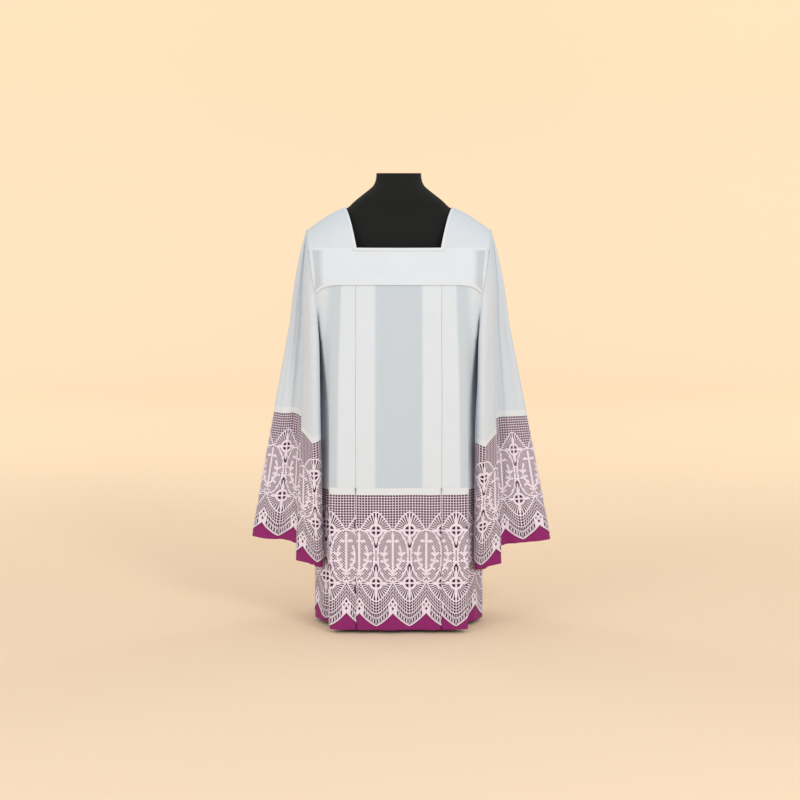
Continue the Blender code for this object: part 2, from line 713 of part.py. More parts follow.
def build_panels():
    """Pleated front and back, their lace borders and the purple bands under the lace."""
    columns = [-u for u in PATH[:0:-1]] + list(PATH)
    columns[0] += SIDE_SEAM_MARGIN
    columns[-1] -= SIDE_SEAM_MARGIN
    controls = {u: np.interp(abs(u), PATH, PLACES[:, 0]) for u in columns}
    repeats = round(4 * HALF_PANEL / LACE_REPEAT)
    repeat = 4 * HALF_PANEL / repeats
    first_fold = len(MIDDLE_PLACES)
    past_folds = len(PLACES) - len(FLAT_PLACES)
    hidden_low, hidden_high = PATH[first_fold] - MARK_CLEAR, PATH[past_folds]
    hidden = [(hidden_low, hidden_high), (-hidden_high, -hidden_low)]
    top_row, low_row = PANEL_ROWS[0], PANEL_ROWS[-1]
    drop = LACE_SEAM_Z - LINING_HEM_Z
    rows_down = (0.0, drop / 2, drop)
    total = 0
    for back, name in enumerate(("front", "back")):

        def skirt(u, z):
            top = yoke_hem_z(controls[u]) + YOKE_LAP
            share = (top_row - z) / (top_row - low_row)
            return body_point(back, u, z + (top - top_row) * (1 - share) ** 2)

        def border(i, v):
            return body_point(back, columns[i], LACE_SEAM_Z - v)

        lace = Cloth(columns, rows_down, border)
        lining = Cloth(columns, (LINING_TOP, *rows_down[1:]), border, lace)
        lining.inset(-LINING_INSET if back else LINING_INSET)
        grid_wall(f"panel_{name}", columns, PANEL_ROWS, skirt, WALL, "cloth")
        phase = LACE_PHASE if not back else -LACE_PHASE + 2 * HALF_PANEL
        ends = columns[0], columns[-1]
        total += lace_wall(f"hem_lace_{name}", lace, *ends, repeat, phase, hidden, LACE_HEIGHT)
        lining.wall(f"hem_band_{name}", LINING_WALL, "purple_cloth")
    return total


def sleeve_keys(sleeve):
    """The unfolded sleeve's places from its outer edge to the underarm."""
    reach = sleeve.reach
    return (
        Key(0.00, 0, reach, 0.000, 0.000),
        Key(0.05, 3, reach - 0.008, 0.014, 0.000),
        Key(0.15, 7, reach - 0.045, 0.028, 0.003),
        Key(0.39, 16, 0.264, 0.045, 0.008),
        Key(FOLD_MIDDLE, 56, 0.226, 0.062, 0.036),
        Key(0.69, 110, 0.192, 0.076, 0.062),
        Key(0.80, 145, 0.205, 0.047, 0.068),
        Key(1.00, 180, 0.2225, 0.000, 0.072),
    )


FOLD_SHARES = [fold.share for fold in FOLDS]


class SleeveShape:
    """A bell sleeve hanging empty, with one long fold down its front and a smaller one behind."""

    def __init__(self, sleeve):
        self.sleeve = sleeve
        keys = sleeve_keys(sleeve)
        self.knots = [key.share for key in keys]
        self.rows = [np.array(key[1:]) for key in keys]

    def plain(self, share, t, drop_share=None):
        """x, depth and height before folding, t 0 at the armhole and 1 at the cuff."""
        angle, x, depth, drop = spline(self.knots, self.rows, share)
        if drop_share is not None:
            drop = spline(self.knots, self.rows, drop_share)[3]
        arm = armhole(angle)
        head = SLEEVE_HEAD * math.sin(math.pi * min(t / SLEEVE_HEAD_T, 1.0))
        arm[0] += ARMHOLE_GAP + head * max(math.cos(math.radians(angle)), 0.0)
        return arm + (np.array((x, depth, self.sleeve.cuff_z - drop)) - arm) * t

    def surface(self, g, t):
        """A point on the folded sleeve: g runs 0 to 1 over the front and on to 2 over the back."""
        back = g > 1
        share = 2 - g if back else g
        overlap = self.sleeve.overlap * (BACK_OVERLAP if back else 1.0)
        overlap *= ARMHOLE_OVERLAP + (1 - ARMHOLE_OVERLAP) * t
        lifted = ARMHOLE_LIFT + (1 - ARMHOLE_LIFT) * ease(t / FULL_LIFT_T)
        lies = [f.share if f.lies is None else FOLD_MIDDLE + overlap * f.lies for f in FOLDS]
        lies[-2] = (lies[-3] + lies[-1]) / 2
        moved = np.interp(share, [0.0, *FOLD_SHARES, 1.0], [0.0, *lies, 1.0])
        here = self.plain(moved, t, share)
        low = max(t, PLAN_T)
        way = self.plain(min(moved + 0.01, 1.0), low) - self.plain(max(moved - 0.01, 0.0), low)
        way[2] = 0.0
        way /= np.linalg.norm(way)
        out = np.array((way[1], -way[0], 0.0))
        reach = np.interp(share, FOLD_SHARES, [f.reach for f in FOLDS])
        lift = np.interp(share, FOLD_SHARES, [f.lift for f in FOLDS])
        if share < FOLD_SHARES[0]:
            lift *= ease(share / FOLD_SHARES[0])
        elif share > FOLD_SHARES[-1]:
            lift *= ease((1 - share) / (1 - FOLD_SHARES[-1]))
        here = here + lifted * (reach * way + lift * out)
        x, depth, z = here
        return Vector((self.sleeve.side * x, depth * BACK_SHARE if back else -depth, z))

    def length(self, g):
        """How long the sleeve is at a place round it."""
        return (self.surface(g, 1.0) - self.surface(g, 0.0)).length

    def above_cuff(self, g, height):
        """The point that lies a height above the cuff's end, along the cloth."""
        return self.surface(g, 1.0 - height / self.length(g))


def sleeve_columns():
    """Places round a sleeve: over its front and on over its back, the last one short of the first."""
    half = [*SIDE_COLUMNS, *FOLD_SHARES, *UNDERARM_COLUMNS]
    return half + [2 - g for g in reversed(half[1:-1])]


def build_sleeve(sleeve):
    """A sleeve, its lace border in two halves and the purple band under them."""
    shape = SleeveShape(sleeve)
    ring = [*sleeve_columns(), 2.0]
    points = [shape.above_cuff(g, SLEEVE_LACE / 2) for g in ring]
    marks = [0.0]
    for before, after in zip(points, points[1:]):
        marks.append(marks[-1] + (after - before).length)
    girth = marks[-1]
    repeat = girth / round(girth / LACE_REPEAT)

    def mark(g):
        return float(np.interp(g, ring, marks))

    middle = mark(1.0)
    low, high = FRONT_HIDDEN
    hidden = [
        (mark(low), mark(high)),
        (mark(UNDERARM_HIDDEN), mark(2 - UNDERARM_HIDDEN)),
        (mark(2 - high), mark(2 - low)),
    ]
    down = SLEEVE_LACE + CUFF_LINING
    rows_down = (0.0, down / 2, down)

    def lace_point(i, v):
        return shape.above_cuff(ring[i], SLEEVE_LACE - v)

    def sleeve_point(i, share):
        end = 1.0 - (SLEEVE_LACE + CUFF_GAP) / shape.length(ring[i])
        return shape.surface(ring[i], share * end)

    lace = Cloth(marks, rows_down, lace_point)
    plain = Cloth(marks, SLEEVE_ROWS, sleeve_point)
    plain.wall(f"sleeve_{sleeve.name}", WALL, "cloth", closed=True)
    lining = Cloth(marks, (LINING_TOP, *rows_down[1:]), lace_point, lace)
    lining.inset(-sleeve.side * CUFF_INSET, closed=True)
    total = 0
    phase = repeat * CUFF_PHASE
    gap = LACE_END_GAP
    for name, start, end in (("front", gap, middle - gap), ("back", middle + gap, girth - gap)):
        piece = f"cuff_lace_{sleeve.name}_{name}"
        total += lace_wall(piece, lace, start, end, repeat, phase, hidden, SLEEVE_LACE)
    lining.wall(f"cuff_band_{sleeve.name}", LINING_WALL, "purple_cloth", closed=True)
    return total


for old in list(bpy.data.objects):
    bpy.data.objects.remove(old)
parts = bpy.data.collections.new("surplice_on_form")
bpy.context.scene.collection.children.link(parts)
build_form()
build_stand()
build_yoke()
build_binding()
gap_count = build_panels()
for each in SLEEVES:
    gap_count += build_sleeve(each)
print(gap_count, "gaps cut in the lace")
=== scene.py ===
"""The dressed scene of the surplice: thin folded cloth, openwork lace, sewing, light and camera.

The cloth follows the same sizes as the part's source, in metres, +Z up, the wearer facing -Y.
"""

import math
from bisect import bisect_right
from collections import namedtuple
from functools import lru_cache

import bpy
import numpy as np
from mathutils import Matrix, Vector
from mathutils.geometry import delaunay_2d_cdt


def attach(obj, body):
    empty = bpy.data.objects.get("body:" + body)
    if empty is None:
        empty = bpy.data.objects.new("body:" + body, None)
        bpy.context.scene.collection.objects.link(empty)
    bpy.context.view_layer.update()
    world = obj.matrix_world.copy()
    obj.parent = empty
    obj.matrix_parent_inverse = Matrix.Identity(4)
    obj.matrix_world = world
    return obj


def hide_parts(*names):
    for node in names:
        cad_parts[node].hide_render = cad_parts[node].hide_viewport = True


# Garment sizes, as in the part's source
WALL = 0.0012
YOKE_TOP_Z = 0.937
YOKE_SEAM_Z = 0.85
YOKE_LAP = 0.008
YOKE_DROOP = 0.024
UNDERARM_Z = 0.7
LACE_SEAM_Z = 0.3605
LINING_HEM_Z = 0.0095
LINING_INSET = 0.0015

Level = namedtuple(
    "Level",
    "z middle fold_x fold_depth corner_x corner_depth flank_x flank_depth hollow_x hollow_depth side_x",
)
BODY_LEVELS = (
    Level(0.937, 0.105, 0.1, 0.099, 0.15, 0.09, 0.172, 0.084, 0.192, 0.078, 0.211),
    Level(0.9, 0.1155, 0.102, 0.1095, 0.152, 0.101, 0.174, 0.096, 0.191, 0.0935, 0.206),
    Level(0.855, 0.1275, 0.103, 0.1225, 0.153, 0.114, 0.173, 0.1085, 0.188, 0.104, 0.201),
    Level(0.78, 0.131, 0.103, 0.1275, 0.156, 0.1195, 0.175, 0.1105, 0.188, 0.1005, 0.195),
    Level(0.73, 0.133, 0.103, 0.1295, 0.158, 0.121, 0.178, 0.106, 0.189, 0.087, 0.194),
    Level(0.7, 0.134, 0.103, 0.1305, 0.16, 0.122, 0.179, 0.099, 0.19, 0.06, 0.197),
    Level(0.6, 0.137, 0.104, 0.134, 0.163, 0.125, 0.172, 0.092, 0.182, 0.052, 0.1975),
    Level(0.48, 0.1395, 0.104, 0.137, 0.165, 0.1275, 0.165, 0.09, 0.181, 0.049, 0.201),
    Level(LACE_SEAM_Z, 0.1415, 0.104, 0.1395, 0.167, 0.13, 0.16, 0.09, 0.184, 0.048, 0.206),
    Level(0.01, 0.143, 0.104, 0.141, 0.169, 0.132, 0.155, 0.09, 0.19, 0.047, 0.212),
)
BACK_SHARE = 0.96
SIDE_CONTROL = 5
CURVE_STEPS = 12
DIRECTION_STEP = 0.002
CUT_Z = 0.19

MIDDLE_PLACES = (0.0, 0.35, 0.7)
PLEAT_CONTROL = 1
FLAT_PLACES = (1.5, 1.85, 2.1, 2.4, 3.0, 3.45, 4.0, 4.5, 5.0)
PLEAT_WIDTH = 0.0495
PLEAT_SLIT = 0.00002
PLEAT_NOSE = 0.0006
PLEAT_EDGE = 0.0007
FRONT_TURN = 0.0036
BACK_TURN = 0.0023
TURN_STEPS = 6

ARM_TOP_X = 0.222
ARM_LEAN = 0.025
ARM_BOW = 0.01
ARM_DEPTH = 0.1
ARM_MID_Z = 0.839
ARM_HALF_Z = 0.139

NECK_FRONT_X = 0.101
NECK_TOP_X = 0.131
NECK_TOP_Z = 1.031
NECK_ARCH_Z = 0.87
SHOULDER_DROP_POWER = 1.35

Sleeve = namedtuple("Sleeve", "name side reach cuff_z overlap")
SLEEVES = (
    Sleeve("left", -1, 0.3675, 0.224, 0.098),
    Sleeve("right", 1, 0.38, 0.216, 0.098),
)
Key = namedtuple("Key", "share angle cuff_x cuff_depth drop")
Fold = namedtuple("Fold", "share lies reach lift")
FOLD_MIDDLE = 0.54
HALFWAY = 2.0
FOLDS = (
    Fold(0.39, None, 0.0, -0.0046),
    Fold(0.451, 0.0, 0.0, -0.0046),
    Fold(0.512, 1.0, 0.0, -0.0046),
    Fold(0.515, 1.0, 0.0023, -0.0023),
    Fold(0.518, 1.0, 0.0, 0.0),
    Fold(0.565, 0.0, 0.0, 0.0),
    Fold(0.612, -1.0, 0.0, 0.0),
    Fold(0.615, -1.0, -0.0042, 0.0042),
    Fold(0.618, -1.0, 0.0, 0.0084),
    Fold(0.638, 0.0, 0.0, 0.0084),
    Fold(0.658, 1.0, 0.0, 0.0084),
    Fold(0.674, HALFWAY, 0.0, 0.0078),
    Fold(0.69, None, 0.0, 0.0062),
)
SIDE_COLUMNS = (0.0, 0.05, 0.15, 0.27)
UNDERARM_COLUMNS = (0.76, 0.86, 1.0)
BACK_OVERLAP = 0.6
ARMHOLE_OVERLAP = 0.3
ARMHOLE_LIFT = 0.5
FULL_LIFT_T = 0.12
PLAN_T = 0.3
ARMHOLE_GAP = 0.0045
SLEEVE_HEAD = 0.007
SLEEVE_HEAD_T = 0.3
SLEEVE_LACE = 0.325
CUFF_LINING = 0.009
CUFF_PHASE = 0.35
CUFF_LINING_INSET = 0.002
SLEEVE_STEP = 0.012
SLEEVE_ROWS = 56
SLEEVE_CUT = 0.46

# Painted shade and light: how much of the colour is the full white of many plies rather than the painted
# grey where the dark form shows through one, with the flanks painted lighter against their shade, and how
# softly it changes
SLEEVE_PAINTED_LIGHT = 0.76
DOUBLE_PAINTED_LIGHT = 0.85
FLANK_FROM = 2.3
FLANK_SPAN = 0.8
FLANK_PAINTED_LIGHT = 0.85
PAINTED_LIGHT_TO_MIDDLE = 0.04794
PAINTED_LIGHT_TO_SIDE = 0.04606
EDGE_SOFT = 0.004

# Yoke's turned lower edge and its ends painted grey as shade; seams over the joint between body and
# sleeve
YOKE_EDGE = 0.007
YOKE_EDGE_LIFT = 0.0006
YOKE_EDGE_SOFT = 0.0012
YOKE_OUT = WALL + 0.0008
YOKE_GREY_FROM = 3.3
YOKE_GREY_SPAN = 0.8
YOKE_END_PAINTED_SHADE = 0.7
YOKE_EDGE_SHARE = 0.075
YOKE_SEAM_SHARE = 0.93
SEAM_INSIDE = 0.003
SEAM_ACROSS = 0.0135
SEAM_ROUND = 0.0011
SEAM_SUNK = 0.0004
SEAM_TOP_LESS = 0.006
SEAM_TOP_DROP = 0.005

LACE_HEIGHT = 0.3415
NOTCH_DEPTH = 0.308
LACE_REPEAT = 0.0807
HALF_REPEAT = LACE_REPEAT / 2
LACE_PHASE = -0.0145
SCALLOP_ROUND = 0.45

# Dress form: height, half width and half depth of its sections
FORM_SECTIONS = (
    (1.115, 0.0545, 0.056), (1.099, 0.056, 0.0575),
    (1.0855, 0.0615, 0.06), (1.077, 0.07, 0.062),
    (1.0687, 0.0805, 0.0625), (1.0481, 0.1065, 0.0615),
    (1.0298, 0.127, 0.057), (1.0085, 0.169, 0.058),
    (0.9905, 0.199, 0.062), (0.977, 0.211, 0.068),
    (0.956, 0.213, 0.076), (0.93, 0.209, 0.082),
    (0.89, 0.199, 0.091), (0.84, 0.187, 0.098),
    (0.78, 0.177, 0.101), (0.7, 0.167, 0.102),
    (0.6, 0.156, 0.103), (0.52, 0.152, 0.103),
    (0.44, 0.153, 0.106), (0.385, 0.152, 0.106),
    (0.356, 0.144, 0.1), (0.345, 0.128, 0.086),
)
FORM_POWER = 2.2
NECK_BASE_Z = 1.06
FORM_CAP_SHARES = (0.985, 0.6, 0.02)

# How finely the thin cloth is made
CLOTH_STEP = 0.0045
PANEL_TOP_Z = 0.858
PANEL_ROWS = 72
STACK_TOP_Z = 0.862
STACK_LEVELS = 126

# Camera, from the photograph's perspective
CAMERA_AT = (0.003, -4.35, 1.115)
CAMERA_DOWN = 7.31
CAMERA_LENS = 79.6


def spline(knots, rows, at):
    """A smooth curve through one row of values for each knot, read at one place."""
    i = min(max(bisect_right(knots, at) - 1, 0), len(knots) - 2)

    def slope(k):
        low, high = max(k - 1, 0), min(k + 1, len(knots) - 1)
        return (rows[high] - rows[low]) / (knots[high] - knots[low])

    span = knots[i + 1] - knots[i]
    s = (at - knots[i]) / span
    start, end = rows[i], rows[i + 1]
    return (
        (2 * s**3 - 3 * s**2 + 1) * start
        + (s**3 - 2 * s**2 + s) * span * slope(i)
        + (3 * s**2 - 2 * s**3) * end
        + (s**3 - s**2) * span * slope(i + 1)
    )


def ease(share):
    """0 to 1 with soft ends."""
    s = min(max(share, 0.0), 1.0)
    return s * s * (3 - 2 * s)


def arc_lengths(points):
    """Distance along a line of points, from its start to each of them."""
    return np.concatenate([[0], np.cumsum(np.linalg.norm(np.diff(points, axis=0), axis=1))])


def two_parts(change, end, first_count, second_count):
    """Places from 0 to the end, even up to the change and even after it."""
    second = np.linspace(change, end, second_count)
    return np.concatenate([np.linspace(0.0, change, first_count), second[1:]])


def armhole(angle):
    """x, depth and height of the armhole: angle 0 is the shoulder tip and 180 the underarm."""
    a = math.radians(angle)
    lean = ARM_LEAN * (1 - math.cos(a)) / 2
    x = ARM_TOP_X - lean - ARM_BOW * math.sin(a)
    return np.array((x, ARM_DEPTH * math.sin(a), ARM_MID_Z + ARM_HALF_Z * math.cos(a)))


LEVEL_KNOTS = [level.z for level in reversed(BODY_LEVELS)]
LEVEL_ROWS = [np.array(level[1:]) for level in reversed(BODY_LEVELS)]


@lru_cache(maxsize=None)
def body_curve(z):
    """The body's plan at a height: points from the middle to the side, and where the controls lie."""
    if z < LACE_SEAM_Z:
        hem, seam = LEVEL_ROWS[0], LEVEL_ROWS[1]
        row = hem + (seam - hem) * (z - LEVEL_KNOTS[0]) / (LEVEL_KNOTS[1] - LEVEL_KNOTS[0])
    else:
        row = spline(LEVEL_KNOTS, LEVEL_ROWS, z)
    controls = [(0.0, row[0]), *zip(row[1:9:2], row[2:9:2])]
    if z >= UNDERARM_Z:
        x, depth, _ = armhole(math.degrees(math.acos((z - ARM_MID_Z) / ARM_HALF_Z)))
        controls.append((x, depth))
    else:
        controls.append((row[9], 0.0))
    controls = np.array(controls)
    first = controls[1] * (-1, 1)
    last = controls[4] * (1, -1) if z < UNDERARM_Z else 2 * controls[5] - controls[4]
    padded = np.vstack([first, controls, last])
    points = []
    for i in range(SIDE_CONTROL):
        a, b, c, d = padded[i : i + 4]
        for s in np.arange(CURVE_STEPS) / CURVE_STEPS:
            points.append(
                b + 0.5 * s * (c - a + s * (2 * a - 5 * b + 4 * c - d + s * (3 * (b - c) + d - a)))
            )
    points.append(controls[-1])
    points = np.array(points)
    arc = arc_lengths(points)
    return points, arc, arc[::CURVE_STEPS]


def body_plan(control, along, inset, z):
    """x and depth at places along the body's plan, moved inwards by the inset, all as arrays."""
    points, arc, marks = body_curve(round(z, 6))
    s = np.clip(np.interp(control, range(SIDE_CONTROL + 1), marks) + along, 0.0, arc[-1])
    here = np.stack([np.interp(s, arc, points[:, k]) for k in (0, 1)], axis=-1)
    low, high = np.maximum(s - DIRECTION_STEP, 0.0), np.minimum(s + DIRECTION_STEP, arc[-1])
    way = np.stack(
        [np.interp(high, arc, points[:, k]) - np.interp(low, arc, points[:, k]) for k in (0, 1)], axis=-1
    )
    way /= np.linalg.norm(way, axis=-1, keepdims=True)
    side = np.stack([-way[:, 1], way[:, 0]], axis=-1)
    return here - np.asarray(inset)[..., None] * side


def pleat_places():
    """Control, distance and depth along a half panel: flat, the inverted pleat, flat again."""
    places = [(c, 0.0, 0.0) for c in MIDDLE_PLACES]

    def turn(centre, radius, nose, depth, way, deeper):
        for k in range(TURN_STEPS + 1):
            a = math.pi * k / TURN_STEPS
            out = nose * math.sin(a) * way
            places.append((PLEAT_CONTROL, centre + out, depth + deeper * radius * (1 - math.cos(a))))

    near, far = PLEAT_SLIT + PLEAT_NOSE, PLEAT_WIDTH - BACK_TURN
    middle, deepest = 2 * FRONT_TURN, 2 * (FRONT_TURN + BACK_TURN)
    places.append((PLEAT_CONTROL, -near - PLEAT_EDGE, 0.0))
    turn(-near, FRONT_TURN, PLEAT_NOSE, 0.0, 1, 1)
    turn(-far, BACK_TURN, BACK_TURN, middle, -1, 1)
    places.append((PLEAT_CONTROL, 0.0, deepest))
    turn(far, BACK_TURN, BACK_TURN, deepest, 1, -1)
    turn(near, FRONT_TURN, PLEAT_NOSE, middle, -1, -1)
    places.append((PLEAT_CONTROL, near + PLEAT_EDGE, 0.0))
    places += [(c, 0.0, 0.0) for c in FLAT_PLACES]
    return np.array(places)


PLACES = pleat_places()

# Distance along the pleated panel, from its middle, of each of its places
PATH = arc_lengths(body_plan(*PLACES.T, CUT_Z))
HALF_PANEL = PATH[-1]
PLEAT_START = PATH[len(MIDDLE_PLACES)]
PLEAT_END = PATH[len(PLACES) - len(FLAT_PLACES) - 1]


def finer(marks, step):
    """The same places with more put in between, none farther apart than the step."""
    found = [marks[0]]
    for before, after in zip(marks, marks[1:]):
        parts = max(1, math.ceil((after - before) / step))
        found += [before + (after - before) * (k + 1) / parts for k in range(parts)]
    return np.array(found)


def body_row(us, z):
    """Points of the pleated body round its whole ring at a height; u 0 is the front's middle."""
    plain = smooth_row(us, z)
    lifts = body_lift(us, z)
    if not np.any(lifts):
        return plain
    way = np.gradient(plain, axis=0)
    out = np.stack([way[:, 1], -way[:, 0], np.zeros(len(us))], axis=-1)
    out /= np.maximum(np.linalg.norm(out, axis=-1, keepdims=True), 1e-9)
    return plain + out * lifts[:, None]


def ring_places(us):
    """Places round the body within half a turn of the front's middle, and which lie behind."""
    turn = 4 * HALF_PANEL
    us = (np.asarray(us) + turn / 2) % turn - turn / 2
    return us, np.abs(us) > HALF_PANEL


def body_lift(us, z):
    """The creases' height round the body; none inside the pleats."""
    us, back = ring_places(us)
    facing = np.where(back, -np.sign(us) * (2 * HALF_PANEL - np.abs(us)), us)
    front_lift = crease_heights(FRONT_CREASES, facing, z)
    back_lift = crease_heights(BACK_CREASES, facing, z)
    lifts = np.where(back, back_lift, front_lift)
    a = np.abs(facing)
    before = np.clip((PLEAT_START - a) / PLEAT_FADE, 0.0, 1.0)
    after = np.clip((a - PLEAT_END) / PLEAT_FADE, 0.0, 1.0)
    at_side = np.clip((HALF_PANEL - a) / SIDE_FADE, 0.0, 1.0)
    return lifts * np.minimum(before + after, 1.0) * at_side


def smooth_row(us, z):
    """The same points before any crease."""
    us, back = ring_places(us)
    along = np.where(back, 2 * HALF_PANEL - np.abs(us), np.abs(us))
    places = [np.interp(along, PATH, PLACES[:, k]) for k in range(3)]
    plan = body_plan(*places, z)
    x = np.where(us < 0, -plan[:, 0], plan[:, 0])
    y = np.where(back, plan[:, 1] * BACK_SHARE, -plan[:, 1])
    return np.stack([x, y, np.full(len(us), z)], axis=-1)


def yoke_hem_z(control):
    """Height of the yoke's lower edge, which droops towards the armholes."""
    return YOKE_SEAM_Z - YOKE_DROOP * (np.abs(control) / SIDE_CONTROL) ** 3


# Creases: place along the cloth and height of the start, place of the end, half width and lift
CREASE_END_Z = 0.01
CREASE_GROWTH = 1.6
PLEAT_FADE = 0.012
SIDE_FADE = 0.01
FRONT_CREASES = (
    (-0.03, 0.56, -0.02, 0.03, 0.003), (0.034, 0.62, 0.046, 0.026, -0.0034),
    (0.006, 0.48, 0.01, 0.018, -0.0022), (0.07, 0.7, 0.08, 0.014, 0.0022),
    (-0.072, 0.76, -0.084, 0.016, 0.002), (-0.055, 0.5, -0.058, 0.012, -0.0018),
    (0.318, 0.7, 0.322, 0.012, -0.0024), (-0.322, 0.64, -0.316, 0.014, -0.0024),
    (0.352, 0.6, 0.35, 0.01, 0.0022), (-0.356, 0.66, -0.362, 0.012, 0.0022),
    (0.43, 0.56, 0.424, 0.016, -0.0036), (-0.428, 0.6, -0.436, 0.018, -0.0034),
    (0.48, 0.52, 0.476, 0.014, 0.0026), (-0.476, 0.5, -0.47, 0.015, 0.0028),
)
BACK_CREASES = (
    (-0.04, 0.6, -0.034, 0.026, -0.0034), (0.02, 0.54, 0.012, 0.022, 0.0028),
    (0.066, 0.66, 0.078, 0.016, -0.0024), (-0.078, 0.72, -0.086, 0.013, 0.0022),
    (0.33, 0.68, 0.324, 0.014, 0.0024), (-0.334, 0.62, -0.326, 0.013, -0.0024),
    (0.42, 0.58, 0.428, 0.018, -0.0032), (-0.424, 0.54, -0.418, 0.016, 0.0028),
    (0.474, 0.52, 0.47, 0.014, 0.0024), (-0.48, 0.56, -0.474, 0.014, -0.0026),
)


def crease_heights(creases, u, z):
    """How far the creases lift the cloth at places along it and heights."""
    total = np.zeros(np.broadcast(u, z).shape)
    for u0, z0, u1, wide, high in creases:
        along = np.clip((z0 - z) / (z0 - CREASE_END_Z), 0.0, 1.0)
        off = (u - (u0 + (u1 - u0) * along)) / wide
        fade = along * along * (3 - 2 * along)
        fade = np.minimum(fade * CREASE_GROWTH, 1.0)
        total += high * fade * np.exp(-(off**2))
    return total


class Sheet:
    """A fine grid of points on a folded cloth, read at any place of its flat cut."""

    def __init__(self, columns, rows, points, closed=False):
        self.columns, self.rows = np.asarray(columns), np.asarray(rows)
        self.points = np.asarray(points)
        self.closed = closed

    def normals(self):
        """The way off the cloth's outer side at each point of the grid."""
        p = self.points
        if self.closed:
            ring = np.concatenate([p[:, -2:-1], p, p[:, 1:2]], axis=1)
            across = ring[:, 2:] - ring[:, :-2]
        else:
            across = np.gradient(p, axis=1)
        down = np.gradient(p, axis=0)
        normal = np.cross(down, across)
        return normal / np.maximum(np.linalg.norm(normal, axis=-1, keepdims=True), 1e-9)

    def moved(self, distance):
        """The same sheet, off its outer side by a distance, which may differ from point to point."""
        distance = np.asarray(distance)
        far = distance[..., None] if distance.ndim else distance
        return Sheet(self.columns, self.rows, self.points + self.normals() * far, self.closed)

    def read(self, values, u, v):
        """Values of the grid at places of the flat cut."""
        i = np.interp(u, self.columns, np.arange(len(self.columns)))
        j = np.interp(v, self.rows, np.arange(len(self.rows)))
        i0 = np.minimum(i.astype(int), len(self.columns) - 2)
        j0 = np.minimum(j.astype(int), len(self.rows) - 2)
        a, b = (i - i0)[:, None], (j - j0)[:, None]
        top = values[j0, i0] * (1 - a) + values[j0, i0 + 1] * a
        low = values[j0 + 1, i0] * (1 - a) + values[j0 + 1, i0 + 1] * a
        return top * (1 - b) + low * b

    def at(self, u, v, off=0.0):
        """Points at places of the flat cut, off the cloth's outer side by a distance."""
        found = self.read(self.points, u, v)
        if np.any(off):
            found = found + self.read(self.normals(), u, v) * np.broadcast_to(off, u.shape)[:, None]
        return found

    def piece(self, name, finish, painted_light=None):
        """The sheet as an object, with its flat cut as its texture coordinates."""
        rows, across = self.points.shape[:2]
        wide = across - 1 if self.closed else across
        verts = self.points[:, :wide].reshape(-1, 3)
        faces, cut = [], []
        for j in range(rows - 1):
            for i in range(across - 1):
                k = (i + 1) % wide
                faces.append((j * wide + i, (j + 1) * wide + i, (j + 1) * wide + k, j * wide + k))
                u0, u1 = self.columns[i], self.columns[i + 1]
                v0, v1 = self.rows[j], self.rows[j + 1]
                cut += [(u0, v0), (u0, v1), (u1, v1), (u1, v0)]
        made = add_piece(name, verts, faces, finish, cut)
        # The painted light share of each point: 1 keeps the full colour, less paints shade.
        if painted_light is not None:
            shown = np.broadcast_to(painted_light, (rows, across))[:, :wide].ravel()
            colours = np.stack([shown, shown, shown, np.ones_like(shown)], axis=-1)
            attribute = made.data.color_attributes.new("Layers", "FLOAT_COLOR", "POINT")
            attribute.data.foreach_set("color", colours.ravel())
        return made


def declare_sheet(sheet):
    """Measures how long each column of a sheet is, and keeps none of it."""
    lengths = [float(arc_lengths(column)[-1]) for column in sheet.points.swapaxes(0, 1)]


def add_piece(name, verts, faces, finish, cut=None):
    """One visible piece of the scene, riding on the part's only body."""
    mesh = bpy.data.meshes.new(name)
    mesh.from_pydata([tuple(v) for v in verts], [], faces)
    if cut is not None:
        layer = mesh.uv_layers.new(name="Cut")
        layer.data.foreach_set("uv", np.asarray(cut, dtype=float).ravel())
    mesh.materials.append(finish)
    mesh.shade_smooth()
    made = bpy.data.objects.new(name, mesh)
    bpy.context.scene.collection.objects.link(made)
    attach(made, "root")
    return made


def start_material(name, rough):
    """A new material, its shader and its coordinates."""
    made = bpy.data.materials.new(name)
    made.use_nodes = True
    shader = made.node_tree.nodes["Principled BSDF"]
    shader.inputs["Roughness"].default_value = rough
    return made, shader, made.node_tree.nodes.new("ShaderNodeTexCoord")


def mottled(made, place, colour, uneven, scale, detail):
    """A colour that wanders a little with a noise, and that noise."""
    nodes, links = made.node_tree.nodes, made.node_tree.links
    noise = nodes.new("ShaderNodeTexNoise")
    noise.inputs["Scale"].default_value = scale
    noise.inputs["Detail"].default_value = detail
    links.new(place.outputs["Object"], noise.inputs["Vector"])
    blend = nodes.new("ShaderNodeMix")
    blend.data_type = "RGBA"
    blend.inputs["A"].default_value = (*(c * (1 - uneven) for c in colour), 1.0)
    blend.inputs["B"].default_value = (*(min(c * (1 + uneven), 1.0) for c in colour), 1.0)
    links.new(noise.outputs["Fac"], blend.inputs["Factor"])
    return blend.outputs["Result"], noise.outputs["Fac"]


def add_bump(made, shader, height, relief, distance):
    """Lets a height rise and sink in the surface's light."""
    links = made.node_tree.links
    bump = made.node_tree.nodes.new("ShaderNodeBump")
    bump.inputs["Strength"].default_value = relief
    bump.inputs["Distance"].default_value = distance
    links.new(height, bump.inputs["Height"])
    links.new(bump.outputs["Normal"], shader.inputs["Normal"])


